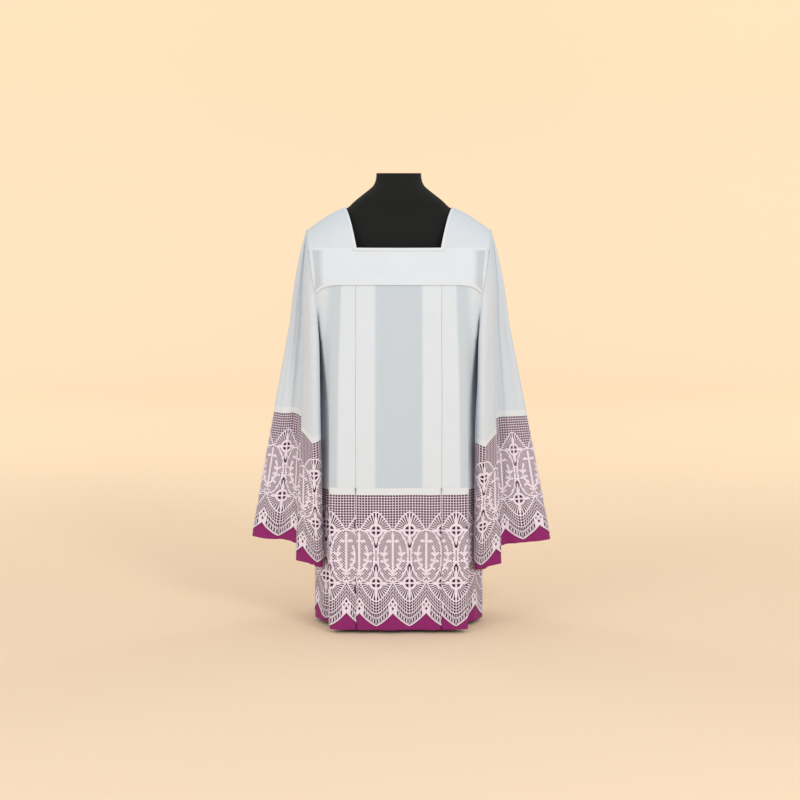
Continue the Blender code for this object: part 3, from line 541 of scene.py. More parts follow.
def cloth_material(name, colour, shade_colour=None, grain=900.0, relief=0.12, mottle=0.03):
    """Woven cloth: fine crossed threads in the bump, a little unevenness in the colour.

    The shade colour, where given, is painted shade, mixed in by the painted light attribute: the dark
    form showing through one layer of cloth, and the lining's shade under the lace.
    """
    made, shader, place = start_material(name, 0.85)
    nodes, links = made.node_tree.nodes, made.node_tree.links
    shader.inputs["Specular IOR Level"].default_value = 0.25
    shader.inputs["Sheen Weight"].default_value = 0.1
    shader.inputs["Sheen Roughness"].default_value = 0.5
    shown, _ = mottled(made, place, colour, mottle, 14.0, 3.0)
    if shade_colour:
        # Painted shade: the attribute's share blends the darker shade colour into the cloth's own.
        painted_light = nodes.new("ShaderNodeAttribute")
        painted_light.attribute_name = "Layers"
        thin = nodes.new("ShaderNodeMix")
        thin.data_type = "RGBA"
        thin.inputs["A"].default_value = (*shade_colour, 1.0)
        links.new(shown, thin.inputs["B"])
        links.new(painted_light.outputs["Fac"], thin.inputs["Factor"])
        shown = thin.outputs["Result"]
    links.new(shown, shader.inputs["Base Color"])
    add = nodes.new("ShaderNodeMath")
    add.operation = "ADD"
    for k, direction in enumerate(("X", "Y")):
        thread = nodes.new("ShaderNodeTexWave")
        thread.bands_direction = direction
        thread.inputs["Scale"].default_value = grain
        thread.inputs["Distortion"].default_value = 0.6
        links.new(place.outputs["UV"], thread.inputs["Vector"])
        links.new(thread.outputs["Fac"], add.inputs[k])
    add_bump(made, shader, add.outputs["Value"], relief, 0.0003)
    return made


def plain_material(name, colour, rough, metallic=0.0, grain=250.0, relief=0.1, uneven=0.1):
    """A smooth covered or painted surface with a faint grain."""
    made, shader, place = start_material(name, rough)
    shader.inputs["Metallic"].default_value = metallic
    shown, grains = mottled(made, place, colour, uneven, grain, 2.0)
    made.node_tree.links.new(shown, shader.inputs["Base Color"])
    add_bump(made, shader, grains, relief, 0.0004)
    return made


# Lace pattern, flat, for one repeat. Lines by their distance from the middle of the almonds:
ARCH = (
    (0.0, 0.0585), (0.006, 0.06), (0.018, 0.0711),
    (0.0294, 0.0879), (0.0378, 0.101), (0.0404, 0.1035),
)
BOWL = (
    (0.0, 0.2809), (0.0112, 0.275), (0.0224, 0.2613),
    (0.03, 0.25), (0.0364, 0.2375), (0.0404, 0.23),
)
RAIL = ((0.0, 0.3098), (0.0084, 0.3075), (0.0168, 0.3), (0.031, 0.2832), (0.0404, 0.2693))
LINE_STEPS = 25
OVAL_V = 0.1663
OVAL_HALF_WIDTH = 0.0372
OVAL_HALF_HEIGHT = 0.0646
OVAL_STEPS = 36

# Widths of its cords
CORD = 0.003
RAIL_CORD = 0.0024
OVAL_CORD = 0.0036
SLOT_CORD = 0.0018
RING_CORD = 0.0015
MAST_CORD = 0.0056
STEM_CORD = 0.0044
EDGE_INSIDE = 0.0014

# The square net above, the diamonds inside the oval and the curved net of the band
NET_TOP = 0.0171
NET_COUNT = 12
NET_BAR = 0.0016
NET_ROWS = 14
NET_PITCH = LACE_REPEAT / NET_COUNT
NET_ROW = NET_PITCH * 0.95
GROUND_STEP = 0.007
GROUND_GAP = GROUND_STEP * 0.36
GROUND_MARGIN = 0.002
BAND_COUNT = 17
BAND_ROWS = 4
BAND_OPEN = (0.13, 0.87)

# Crosses: their height, and how far their upper and lower leaf reach
Cross = namedtuple("Cross", "v up down")
CROSSES = (Cross(0.104, 0.0385, 0.036), Cross(0.2345, 0.036, 0.0425))
CROSS_ARM = 0.031
CROSS_HEART = 0.002
CROSS_RING = 0.0142
CROSS_LEAF = 0.0068
CROSS_SIDE_LEAF = 0.0064
EYE_INNER = 0.0022
EYE_OUTER = 0.0108
EYE_BEND = 0.008
RAY_COUNT = 32
RAY_GAP = 0.31
RAY_START = 0.0168
RAY_LONGEST = 0.044
RAY_SHORTEST = 0.002
SLIVER = 1e-4
POINT_VS = (0.143, 0.19)
POINT_SIZE = (0.0034, 0.0058)
RUNG_COUNT = 5
RUNG_TOP = 0.153
RUNG_STEP = 0.0055
RUNG_SIZE = (0.0016, 0.0032)

# The border below the rail, by its share of the way down to the lace's edge
SLOT_COUNT = 19
SLOT_OPEN = (0.14, 0.86)
SLOT_TOP = 0.03
SLOT_SHARE = 0.36
RING_TOP = 0.95
RING_SHARE = 0.655
RING_SIZE = (0.0026, 0.008)
RING_STEPS = 9
RING_XS = (0.0118, 0.018, 0.0242, 0.0304, 0.0366)
BORDER_CLOSED = 0.007
NOTCH_GAPS = ((0.0, 0.2798), (0.0, 0.2972), (-0.005, 0.2885), (0.005, 0.2885))
NOTCH_SIZE = (0.0031, 0.0046)

# The plain cross and its two sprays inside the oval: leaves by place, way and size
LEAF_SHAPE = (0.25, 0.7, 1.0, 0.75, 0.1)
MAST = ((0.0, 0.124), (0.0, 0.214))
CROSS_LEAVES = ((0, -1, 0.0215), (-1, 0, 0.0165), (1, 0, 0.0165))
SPRAY_STEM = ((0.001, 0.206), (0.012, 0.196), (0.019, 0.181), (0.0215, 0.165), (0.019, 0.152))
SPRAY_LEAVES = (
    (0.012, 0.196, 0.95, 0.3),
    (0.012, 0.196, -0.1, -1.0),
    (0.019, 0.181, 0.9, -0.2),
    (0.019, 0.181, -0.75, -0.65),
    (0.0215, 0.165, 0.8, -0.6),
    (0.0215, 0.165, -0.85, -0.5),
    (0.019, 0.152, -0.3, -0.95),
)
FOOT_LEAVES = ((0.218, 0.7, 0.7, 0.011), (0.214, 0.85, -0.5, 0.012))


def curve_v(table, x):
    """Depth of one of the pattern's lines at a place across the repeat, whose middle is an oval."""
    d = np.abs(np.abs(x) - HALF_REPEAT)
    rows = np.array(table)
    return np.interp(d, rows[:, 0], rows[:, 1])


def scallop(x):
    """Depth of the lace's edge: a notch under each oval and a point under each almond."""
    share = np.abs(x) / HALF_REPEAT
    way = share + SCALLOP_ROUND * (np.sin(np.pi * share / 2) - share)
    return NOTCH_DEPTH + (LACE_HEIGHT - NOTCH_DEPTH) * way

def border_v(x, share):
    """Depth at a share of the way from the rail to the lace's edge."""
    return curve_v(RAIL, x) * (1 - share) + scallop(x) * share


def border_strip(x0, x1, top, low):
    """Corners of a part of the border between two places across it and two shares down it."""
    return [(x, border_v(x, top)) for x in (x0, x1)] + [(x, border_v(x, low)) for x in (x1, x0)]


def box(x0, v0, x1, v1):
    """Corners of an upright rectangle."""
    return [(x0, v0), (x1, v0), (x1, v1), (x0, v1)]


def diamond(x, v, across, tall):
    """Corners of a diamond, by its middle and its half sizes."""
    return [(x - across, v), (x, v - tall), (x + across, v), (x, v + tall)]


def held(c):
    """The point brought inside the repeat."""
    return (min(max(c[0], -HALF_REPEAT), HALF_REPEAT), max(c[1], 0.0))
class Pattern:
    """One flat repeat of lace: cords, and gaps that count only inside their own fields."""

    def __init__(self):
        self.verts, self.faces, self.kinds = [], [], []
        self.ridges = []

    def add(self, kind, corners):
        """One face, always turned the same way round, and left out where it has no area."""
        pairs = zip(corners, [*corners[1:], corners[0]])
        area = sum(a[0] * b[1] - b[0] * a[1] for a, b in pairs) / 2
        if abs(area) < 1e-8:
            return
        if area < 0:
            corners = corners[::-1]
        first = len(self.verts)
        self.verts.extend(Vector(c) for c in corners)
        self.faces.append(list(range(first, first + len(corners))))
        self.kinds.append(kind)

    def cord(self, points, width, ridge=True):
        """A worked line of the lace, one strip for each step of it."""
        points = [np.array(p) for p in points]
        for a, b in zip(points, points[1:]):
            way = (b - a) / np.linalg.norm(b - a)
            side = np.array((-way[1], way[0])) * width / 2
            grow = way * width * 0.2
            corners = [a - grow - side, b + grow - side, b + grow + side, a - grow + side]
            self.add("cord", [held(c) for c in corners])
        if ridge:
            self.ridges.append((points, width))

    def leaf(self, x, v, way_x, way_v, near, far, wide):
        """A worked leaf outwards from a centre, widest at two thirds of its length."""
        centre, way, side = np.array((x, v)), np.array((way_x, way_v)), np.array((-way_v, way_x))
        middle = (near + 2 * far) / 3
        places = (near, (near + middle) / 2, middle, (middle + far) / 2, far)
        shape = list(zip(places, LEAF_SHAPE))
        corners = [centre + way * r + side * wide / 2 * w for r, w in shape]
        corners += [centre + way * r - side * wide / 2 * w for r, w in reversed(shape)]
        self.add("cord", [held(c) for c in corners])

    def gap(self, field, corners):
        """An opening, left out where it isn't wholly inside the repeat."""
        if all(abs(c[0]) <= HALF_REPEAT + 1e-9 for c in corners):
            self.add(field, corners)


def round_line(x, v, across, tall, parts, start=0.0, end=360.0):
    """Points of an oval line."""
    found = []
    for k in range(parts + 1):
        a = math.radians(start + (end - start) * k / parts)
        found.append((x + across * math.cos(a), v + tall * math.sin(a)))
    return found


def even_line(points):
    """Reads a line of points at a share of its length."""
    points = np.array(points)
    arc = arc_lengths(points)
    arc /= arc[-1]

    def read(share):
        return np.array([np.interp(share, arc, points[:, k]) for k in (0, 1)])

    return read

def ray_end(x, v, angle):
    """How far from the middle of a cross its ray runs before it meets the field's outline."""
    for r in np.arange(RAY_START, RAY_LONGEST, 0.001):
        px, pv = x + r * math.cos(angle), v + r * math.sin(angle)
        in_oval = (px / OVAL_HALF_WIDTH) ** 2 + ((pv - OVAL_V) / OVAL_HALF_HEIGHT) ** 2 < 1
        if in_oval or pv < curve_v(ARCH, px) or pv > curve_v(BOWL, px):
            return r
    return RAY_LONGEST


def add_net(made):
    """The closed header above the net, and the net's square openings down to the arch."""
    for i in range(NET_COUNT):
        x0, x1 = -HALF_REPEAT + NET_PITCH * i, -HALF_REPEAT + NET_PITCH * (i + 1)
        for v0, v1 in ((0.0, NET_TOP / 2), (NET_TOP / 2, NET_TOP)):
            made.add("header", box(x0, v0, x1, v1))
    for i in range(NET_COUNT):
        x0 = -HALF_REPEAT + NET_PITCH * i + NET_BAR / 2
        x1 = -HALF_REPEAT + NET_PITCH * (i + 1) - NET_BAR / 2
        for j in range(NET_ROWS):
            v0 = NET_TOP + NET_ROW * j
            if v0 < max(curve_v(ARCH, x0), curve_v(ARCH, x1)):
                made.gap("above_gap", box(x0, v0, x1, v0 + NET_ROW - NET_BAR))


def add_cross(made, x, side, cross):
    """The half of a cross at one side of the repeat: rays, two openings, a ring and three leaves."""
    w = 2 * math.pi / RAY_COUNT * RAY_GAP
    for k in range(RAY_COUNT):
        a = 2 * math.pi * (k + 0.5) / RAY_COUNT
        far = ray_end(x, cross.v, a)
        if far < RAY_START + RAY_SHORTEST:
            continue
        corners = []
        for r, s in ((RAY_START, -1), (far, -0.8), (far, 0.8), (RAY_START, 1)):
            corners.append(held((x + r * math.cos(a + s * w), cross.v + r * math.sin(a + s * w))))
        if abs(corners[0][0] - corners[1][0]) > SLIVER or abs(x + math.cos(a)) < HALF_REPEAT:
            made.add("between_gap", corners)
    eye = ((EYE_INNER, EYE_INNER), (EYE_OUTER, EYE_INNER), (EYE_BEND, EYE_BEND), (EYE_INNER, EYE_OUTER))
    for up in (-1, 1):
        made.add("between_gap", [(x + side * cx, cross.v + up * cv) for cx, cv in eye])
    start = -90 * side
    made.cord(round_line(x, cross.v, CROSS_RING, CROSS_RING, 12, start, start + 180), CORD)
    made.leaf(x, cross.v, 0, -1, CROSS_HEART, cross.up, CROSS_LEAF)
    made.leaf(x, cross.v, 0, 1, CROSS_HEART, cross.down, CROSS_LEAF)
    made.leaf(x, cross.v, side, 0, CROSS_HEART, CROSS_ARM, CROSS_SIDE_LEAF)


def add_rungs(made, x, side):
    """The pointed openings and the small ones between the two crosses."""
    across, tall = POINT_SIZE
    for v in POINT_VS:
        made.add("between_gap", [(x, v - tall), (x + side * across, v), (x, v + tall)])
    across, tall = RUNG_SIZE
    for k in range(RUNG_COUNT):
        v = RUNG_TOP + RUNG_STEP * k
        made.add("between_gap", box(x, v, x + side * across, v + tall))


def add_band(made, bowl, rail):
    """The curved net between the bowl and the rail."""
    top, low = even_line(bowl), even_line(rail)
    for i in range(BAND_COUNT):
        (a, b), (c, d) = [(top(s), low(s)) for s in ((i + part) / BAND_COUNT for part in BAND_OPEN)]
        for j in range(BAND_ROWS):
            s0, s1 = [(j + part) / BAND_ROWS for part in BAND_OPEN]
            corners = [a + (b - a) * s0, c + (d - c) * s0, c + (d - c) * s1, a + (b - a) * s1]
            made.gap("band_gap", [tuple(corner) for corner in corners])


def add_ground(made):
    """The diamonds inside the oval."""
    wide, tall = OVAL_HALF_WIDTH - GROUND_MARGIN, OVAL_HALF_HEIGHT - GROUND_MARGIN
    for i in range(-9, 10):
        for j in range(-15, 16):
            for odd in (0, 1):
                x = (i + odd / 2) * GROUND_STEP
                v = OVAL_V + (j + odd / 2) * GROUND_STEP
                if (x / wide) ** 2 + ((v - OVAL_V) / tall) ** 2 < 1:
                    made.add("oval_gap", diamond(x, v, GROUND_GAP, GROUND_GAP))


def add_border(made, xs):
    """The slots, the rings and the notch's openings between the rail and the edge."""
    made.cord([(x, border_v(x, SLOT_SHARE)) for x in xs], SLOT_CORD, ridge=False)
    for k in range(SLOT_COUNT):
        x0, x1 = [-HALF_REPEAT + LACE_REPEAT * (k + part) / SLOT_COUNT for part in SLOT_OPEN]
        if min(abs(x0), abs(x1)) > BORDER_CLOSED:
            made.gap("border_gap", border_strip(x0, x1, SLOT_TOP, SLOT_SHARE))
    for x0, x1 in zip(xs, xs[1:]):
        if min(abs(x0), abs(x1)) > BORDER_CLOSED:
            made.gap("border_gap", border_strip(x0, x1, SLOT_SHARE, RING_TOP))
    for s in (-1, 1):
        for ring_x in RING_XS:
            x = s * ring_x
            made.cord(round_line(x, border_v(x, RING_SHARE), *RING_SIZE, RING_STEPS), RING_CORD)
    for x, v in NOTCH_GAPS:
        made.add("border_gap", diamond(x, v, *NOTCH_SIZE))


def add_emblem(made):
    """A plain cross between two sprays of leaves, in the oval."""
    for way_x, way_v, reach in CROSS_LEAVES:
        made.leaf(0.0, 0.13, way_x, way_v, 0.0, reach, 0.0078)
    made.cord(MAST, MAST_CORD)
    for s in (-1, 1):
        made.cord([(s * x, v) for x, v in SPRAY_STEM], STEM_CORD)
        for x, v, way_x, way_v in SPRAY_LEAVES:
            size = math.hypot(way_x, way_v)
            made.leaf(s * x, v, s * way_x / size, way_v / size, 0.0, 0.0116, 0.007)
        for v, way_x, way_v, reach in FOOT_LEAVES:
            made.leaf(s * 0.001, v, s * way_x, way_v, 0.0, reach, 0.005)


def lace_pattern():
    """Every cord and gap of one repeat of the lace."""
    made = Pattern()
    xs = np.linspace(-HALF_REPEAT, HALF_REPEAT, LINE_STEPS)
    arch, bowl, rail = [[(x, curve_v(table, x)) for x in xs] for table in (ARCH, BOWL, RAIL)]
    edge = [(x, scallop(x)) for x in xs]
    oval = round_line(0.0, OVAL_V, OVAL_HALF_WIDTH, OVAL_HALF_HEIGHT, OVAL_STEPS)

    made.add("cloth", [(-HALF_REPEAT, 0.0), *edge, (HALF_REPEAT, 0.0)])
    made.add("above", [(-HALF_REPEAT, 0.0), *arch, (HALF_REPEAT, 0.0)])
    made.add("between", [*arch, *reversed(bowl)])
    made.add("oval", oval[:-1])
    made.add("band", [*bowl, *reversed(rail)])
    made.add("border", [*rail, *reversed(edge)])

    made.cord(arch, CORD)
    made.cord(bowl, CORD)
    made.cord(rail, RAIL_CORD)
    made.cord(oval, OVAL_CORD)
    made.cord([(x, v - EDGE_INSIDE) for x, v in edge], CORD)

    sides = ((-HALF_REPEAT, 1), (HALF_REPEAT, -1))
    add_net(made)
    for cross in CROSSES:
        for x, side in sides:
            add_cross(made, x, side, cross)
    for x, side in sides:
        add_rungs(made, x, side)
    add_band(made, bowl, rail)
    add_ground(made)
    add_border(made, xs)
    add_emblem(made)
    return made


def cut_pattern(pattern):
    """Triangles of one flat repeat, with the gaps left out."""
    found, _, tiles, _, _, inside = delaunay_2d_cdt(pattern.verts, [], pattern.faces, 1, 1e-7)
    fields = {"above_gap": "above", "band_gap": "band", "oval_gap": "oval", "border_gap": "border"}
    kept, heads = [], []
    for tile, inputs in zip(tiles, inside):
        kinds = {pattern.kinds[k] for k in inputs}
        if "cloth" not in kinds:
            continue
        open_here = any(gap in kinds and field in kinds for gap, field in fields.items())
        if "between_gap" in kinds and "between" in kinds and "oval" not in kinds:
            open_here = True
        if "cord" in kinds or not open_here:
            kept.append(tile)
            heads.append("header" in kinds)
    used = sorted({k for tile in kept for k in tile})
    number = {k: n for n, k in enumerate(used)}
    return np.array([tuple(found[k]) for k in used]), [[number[k] for k in tile] for tile in kept], heads


def lace_piece(name, sheet, centres, wide, tall, cut, ridges, outer=1.0):
    """A lace border of repeats laid on a folded cloth, with its main cords raised."""
    flat_points, tiles, heads = cut
    verts, faces = [], []
    total = 0
    for centre in centres:
        u = centre + flat_points[:, 0] * wide
        verts.append(sheet.at(u, flat_points[:, 1] * tall, 0.0002 * outer))
        faces += [[k + total for k in tile] for tile in tiles]
        total += len(flat_points)
    for centre in centres:
        for points, width in ridges:
            line = np.array(points)
            way = np.gradient(line, axis=0)
            way /= np.linalg.norm(way, axis=1, keepdims=True)
            side = np.stack([-way[:, 1], way[:, 0]], axis=1) * width * 0.5
            rings = []
            for share, off in ((-1, 0.0003), (0, 0.0009), (1, 0.0003)):
                flat = line + side * share
                rings.append(sheet.at(centre + flat[:, 0] * wide, flat[:, 1] * tall, off * outer))
            n = len(line)
            verts.append(np.concatenate(rings))
            for r in (0, 1):
                for k in range(n - 1):
                    a = total + r * n + k
                    faces.append([a, a + 1, a + n + 1, a + n])
            total += 3 * n
    made = add_piece(name, np.concatenate(verts), faces, THREAD)
    made.data.materials.append(TRIM)
    kinds = np.zeros(len(faces), dtype=np.int32)
    kinds[: len(tiles) * len(centres)] = np.tile(np.array(heads, dtype=np.int32), len(centres))
    made.data.polygons.foreach_set("material_index", kinds)
    flat = (LACE_REPEAT * wide * len(centres), LACE_HEIGHT * tall)
    return made


def sleeve_keys(sleeve):
    """The unfolded sleeve's places from its outer edge to the underarm."""
    reach = sleeve.reach
    return (
        Key(0.0, 0, reach, 0.0, 0.0),
        Key(0.05, 3, reach - 0.008, 0.014, 0.0),
        Key(0.15, 7, reach - 0.045, 0.028, 0.003),
        Key(0.39, 16, 0.264, 0.045, 0.008),
        Key(FOLD_MIDDLE, 56, 0.226, 0.062, 0.036),
        Key(0.69, 110, 0.192, 0.076, 0.062),
        Key(0.8, 145, 0.205, 0.047, 0.068),
        Key(1.0, 180, 0.2225, 0.0, 0.072),
    )


FOLD_SHARES = [fold.share for fold in FOLDS]

# Sleeve creases: place round the sleeve at the armhole and the cuff, start down it, width, height
SLEEVE_RUN_SHARE = 1.8
SLEEVE_RUNS = {
    "left": (
        (0.16, 0.12, 0.1, 0.035, 0.003), (0.3, 0.26, 0.0, 0.03, -0.0036),
        (0.42, 0.4, 0.02, 0.022, 0.0026), (0.56, 0.57, 0.05, 0.02, -0.0024),
        (0.76, 0.79, 0.25, 0.035, -0.0034), (0.9, 0.91, 0.4, 0.03, 0.0028),
        (1.18, 1.22, 0.2, 0.035, 0.003), (1.46, 1.42, 0.1, 0.03, -0.0032),
        (1.72, 1.76, 0.05, 0.035, 0.003), (1.88, 1.86, 0.3, 0.03, -0.0028),
    ),
    "right": (
        (0.14, 0.17, 0.15, 0.032, -0.0026), (0.27, 0.3, 0.0, 0.03, 0.0034),
        (0.38, 0.37, 0.04, 0.022, -0.0028), (0.58, 0.56, 0.03, 0.02, 0.0026),
        (0.74, 0.76, 0.2, 0.033, 0.003), (0.88, 0.87, 0.35, 0.03, -0.0032),
        (1.2, 1.16, 0.25, 0.035, -0.0028), (1.48, 1.52, 0.08, 0.03, 0.0032),
        (1.7, 1.66, 0.1, 0.035, -0.003), (1.9, 1.88, 0.25, 0.03, 0.0026),
    ),
}


class SleeveShape:
    """A bell sleeve hanging empty, with one long fold down its front and a smaller one behind."""

    def __init__(self, sleeve):
        self.sleeve = sleeve
        keys = sleeve_keys(sleeve)
        self.knots = [key.share for key in keys]
        self.rows = [np.array(key[1:]) for key in keys]

    def plain(self, share, t, drop_share=None):
        """x, depth and height before folding, t 0 at the armhole and 1 at the cuff."""
        angle, x, depth, drop = spline(self.knots, self.rows, share)
        if drop_share is not None:
            drop = spline(self.knots, self.rows, drop_share)[3]
        arm = armhole(angle)
        head = SLEEVE_HEAD * math.sin(math.pi * min(t / SLEEVE_HEAD_T, 1.0))
        arm[0] += ARMHOLE_GAP + head * max(math.cos(math.radians(angle)), 0.0)
        return arm + (np.array((x, depth, self.sleeve.cuff_z - drop)) - arm) * t

    def surface(self, g, t):
        """A point on the folded sleeve: g runs 0 to 1 over the front and on to 2 over the back."""
        back = g > 1
        share = 2 - g if back else g
        overlap = self.sleeve.overlap * (BACK_OVERLAP if back else 1.0)
        overlap *= ARMHOLE_OVERLAP + (1 - ARMHOLE_OVERLAP) * t
        lifted = ARMHOLE_LIFT + (1 - ARMHOLE_LIFT) * ease(t / FULL_LIFT_T)
        lies = [f.share if f.lies is None else FOLD_MIDDLE + overlap * f.lies for f in FOLDS]
        lies[-2] = (lies[-3] + lies[-1]) / 2
        moved = np.interp(share, [0.0, *FOLD_SHARES, 1.0], [0.0, *lies, 1.0])
        here = self.plain(moved, t, share)
        low = max(t, PLAN_T)
        way = self.plain(min(moved + 0.01, 1.0), low) - self.plain(max(moved - 0.01, 0.0), low)
        way[2] = 0.0
        way /= np.linalg.norm(way)
        out = np.array((way[1], -way[0], 0.0))
        reach = np.interp(share, FOLD_SHARES, [f.reach for f in FOLDS])
        lift = np.interp(share, FOLD_SHARES, [f.lift for f in FOLDS])
        if share < FOLD_SHARES[0]:
            lift *= ease(share / FOLD_SHARES[0])
        elif share > FOLD_SHARES[-1]:
            lift *= ease((1 - share) / (1 - FOLD_SHARES[-1]))
        crease = 0.0
        for top, low_end, start, wide, high in SLEEVE_RUNS[self.sleeve.name]:
            off = (g - (top + (low_end - top) * t)) / wide
            fade = ease((t - start) / 0.25) if start else 1.0
            crease += SLEEVE_RUN_SHARE * high * fade * math.exp(-off * off)
        edge = ease(min(g, 2 - g, abs(g - 1)) / 0.06)
        here = here + lifted * (reach * way + lift * out) + out * crease * edge * ease(t / 0.06)
        x, depth, z = here
        return np.array((self.sleeve.side * x, depth * BACK_SHARE if back else -depth, z))

    def length(self, g):
        """How long the sleeve is at a place round it."""
        return np.linalg.norm(self.surface(g, 1.0) - self.surface(g, 0.0))

    def above_cuff(self, g, height):
        """The point that lies a height above the cuff's end, along the cloth."""
        return self.surface(g, 1.0 - height / self.length(g))


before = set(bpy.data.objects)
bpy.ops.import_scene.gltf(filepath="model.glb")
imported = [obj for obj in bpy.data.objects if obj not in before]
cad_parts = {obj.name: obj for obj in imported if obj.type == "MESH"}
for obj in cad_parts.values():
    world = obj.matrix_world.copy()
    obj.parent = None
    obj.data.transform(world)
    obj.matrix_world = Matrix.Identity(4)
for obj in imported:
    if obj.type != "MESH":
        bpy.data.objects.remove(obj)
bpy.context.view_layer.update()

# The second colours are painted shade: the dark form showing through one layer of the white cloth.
WHITE = cloth_material("white_cloth", (0.73, 0.8, 0.88), (0.585, 0.665, 0.75))
DOUBLE = cloth_material("white_cloth_double", (0.75, 0.81, 0.88), (0.5, 0.55, 0.6))
TRIM = cloth_material("white_trim", (0.77, 0.82, 0.88))
# The lining's second colour is painted shade, where it lies under the lace.
PURPLE = cloth_material("purple_lining", (0.285, 0.02, 0.16), (0.07, 0.005, 0.053), mottle=0.08)
THREAD = cloth_material("lace_thread", (0.88, 0.79, 0.92), grain=1500.0, relief=0.3)
BLACK = plain_material("black_jersey", (0.0018, 0.003, 0.0026), 0.9)
STEEL = plain_material("black_paint", (0.03, 0.03, 0.032), 0.4, 0.6)

for node in ("stand_base", "stand_collar", "stand_post"):
    for slot in bpy.data.objects[node].material_slots:
        slot.material = STEEL

def form_sheet():
    """The form again, smoother than its solid and as large, with its ends closed."""
    knots = [-z for z, _, _ in FORM_SECTIONS]
    sizes = [np.array(size) for _, *size in FORM_SECTIONS]
    angles = np.linspace(0.0, 2 * math.pi, 97)
    c, s = np.cos(angles), np.sin(angles)
    rings = []
    for z in np.linspace(FORM_SECTIONS[0][0], FORM_SECTIONS[-1][0], 150):
        half_width, half_depth = spline(knots, sizes, -z)
        power = 2.0 + (FORM_POWER - 2.0) * ease((NECK_BASE_Z + 0.01 - z) / 0.03)
        x = half_width * np.sign(c) * np.abs(c) ** (2 / power)
        y = half_depth * np.sign(s) * np.abs(s) ** (2 / power)
        rings.append(np.stack([x, y, np.full(len(c), z)], axis=-1))
    top, low = [[rings[end] * (share, share, 1.0) for share in FORM_CAP_SHARES] for end in (0, -1)]
    rings = [*reversed(top), *rings, *low]
    return Sheet(angles * 0.14, np.arange(len(rings)) * 0.005, np.array(rings), True)


form = form_sheet().piece("form_cover", BLACK)
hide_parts("form_torso")

half_columns = finer(PATH, CLOTH_STEP)
columns = np.concatenate([-half_columns[:0:-1], half_columns])
controls = np.interp(np.abs(columns), PATH, PLACES[:, 0])


def panel_sheet(back):
    """The pleated panel between the yoke and the lace."""
    top = yoke_hem_z(controls) + YOKE_LAP
    us = columns if not back else 2 * HALF_PANEL - columns
    levels = np.linspace(STACK_TOP_Z, LACE_SEAM_Z, STACK_LEVELS)
    stack = np.array([body_row(us, float(z)) for z in levels])
    rows, points = [], []
    for share in np.linspace(0.0, 1.0, PANEL_ROWS):
        z = PANEL_TOP_Z + (LACE_SEAM_Z - PANEL_TOP_Z) * share
        heights = z + (top - PANEL_TOP_Z) * (1 - share) ** 2
        place = np.interp(-heights, -levels, np.arange(len(levels)))
        low = np.minimum(place.astype(int), len(levels) - 2)
        part = (place - low)[:, None]
        each = np.arange(len(us))
        points.append(stack[low, each] * (1 - part) + stack[low + 1, each] * part)
        rows.append(PANEL_TOP_Z - z)
    return Sheet(columns, rows, np.array(points))


def panel_painted_light():
    """1 where the panel lies in many plies; less, as painted shade, where the form shows through one;
    painted lighter on the flanks against their shade.
    """
    u = np.abs(columns)
    before = np.clip((u - PLEAT_START + PAINTED_LIGHT_TO_MIDDLE) / EDGE_SOFT, 0.0, 1.0)
    after = np.clip((PLEAT_END + PAINTED_LIGHT_TO_SIDE - u) / EDGE_SOFT, 0.0, 1.0)
    flank = np.clip((controls - FLANK_FROM) / FLANK_SPAN, 0.0, 1.0) * FLANK_PAINTED_LIGHT
    return np.maximum(before * after, flank)[None, :]


for back, name in enumerate(("front", "back")):
    sheet = panel_sheet(back)
    made = sheet.piece(f"cloth_panel_{name}", WHITE, panel_painted_light())
    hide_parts(f"panel_{name}")
    declare_sheet(sheet)

# Lace and lining round the whole hem
ring_columns = np.concatenate([columns[:-1], 2 * HALF_PANEL + columns])
hem_rows = two_parts(0.295, LACE_SEAM_Z - LINING_HEM_Z, 16, 17)
hem_points = np.array([body_row(ring_columns, LACE_SEAM_Z - v) for v in hem_rows])
hem = Sheet(ring_columns, hem_rows, hem_points, True)
pattern = lace_pattern()
lace_cut = cut_pattern(pattern)
repeats = round(4 * HALF_PANEL / LACE_REPEAT)
repeat = 4 * HALF_PANEL / repeats
start = ring_columns[0]
centres = [(LACE_PHASE + repeat * k - start) % (4 * HALF_PANEL) + start for k in range(repeats)]


def wrapped(sheet, margin=24):
    """The closed sheet with a few columns repeated past its end, so a repeat can run over the seam."""
    turn = sheet.columns[-1] - sheet.columns[0]
    before = sheet.columns[-margin - 1 : -1] - turn
    after = sheet.columns[1 : margin + 1] + turn
    columns = np.concatenate([before, sheet.columns, after])
    p = sheet.points
    points = np.concatenate([p[:, -margin - 1 : -1], p, p[:, 1 : margin + 1]], axis=1)
    return Sheet(columns, sheet.rows, points)


def bare_lining(sheet, phase, repeat, tall):
    """1 where the lining shows below the lace and 0 under it, where the lining is painted darker as the
    lace's shade.
    """
    x = (sheet.columns - phase + repeat / 2) % repeat - repeat / 2
    edge = scallop(x * LACE_REPEAT / repeat) * tall
    return np.clip((sheet.rows[:, None] - edge[None, :]) / EDGE_SOFT + 0.5, 0.0, 1.0)


hem_wide = wrapped(hem)
front_centres = [c for c in centres if c < HALF_PANEL]
back_centres = [c for c in centres if c >= HALF_PANEL]
for name, chosen in (("front", front_centres), ("back", back_centres)):
    made = lace_piece(
        f"lace_hem_{name}", hem_wide, chosen, repeat / LACE_REPEAT, 1.0,
        lace_cut, pattern.ridges,
    )
    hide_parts(f"hem_lace_{name}")
lining = hem.moved(-LINING_INSET)
made = lining.piece("lining_hem", PURPLE, bare_lining(lining, LACE_PHASE, repeat, 1.0))
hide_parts("hem_band_front", "hem_band_back")
declare_sheet(lining)

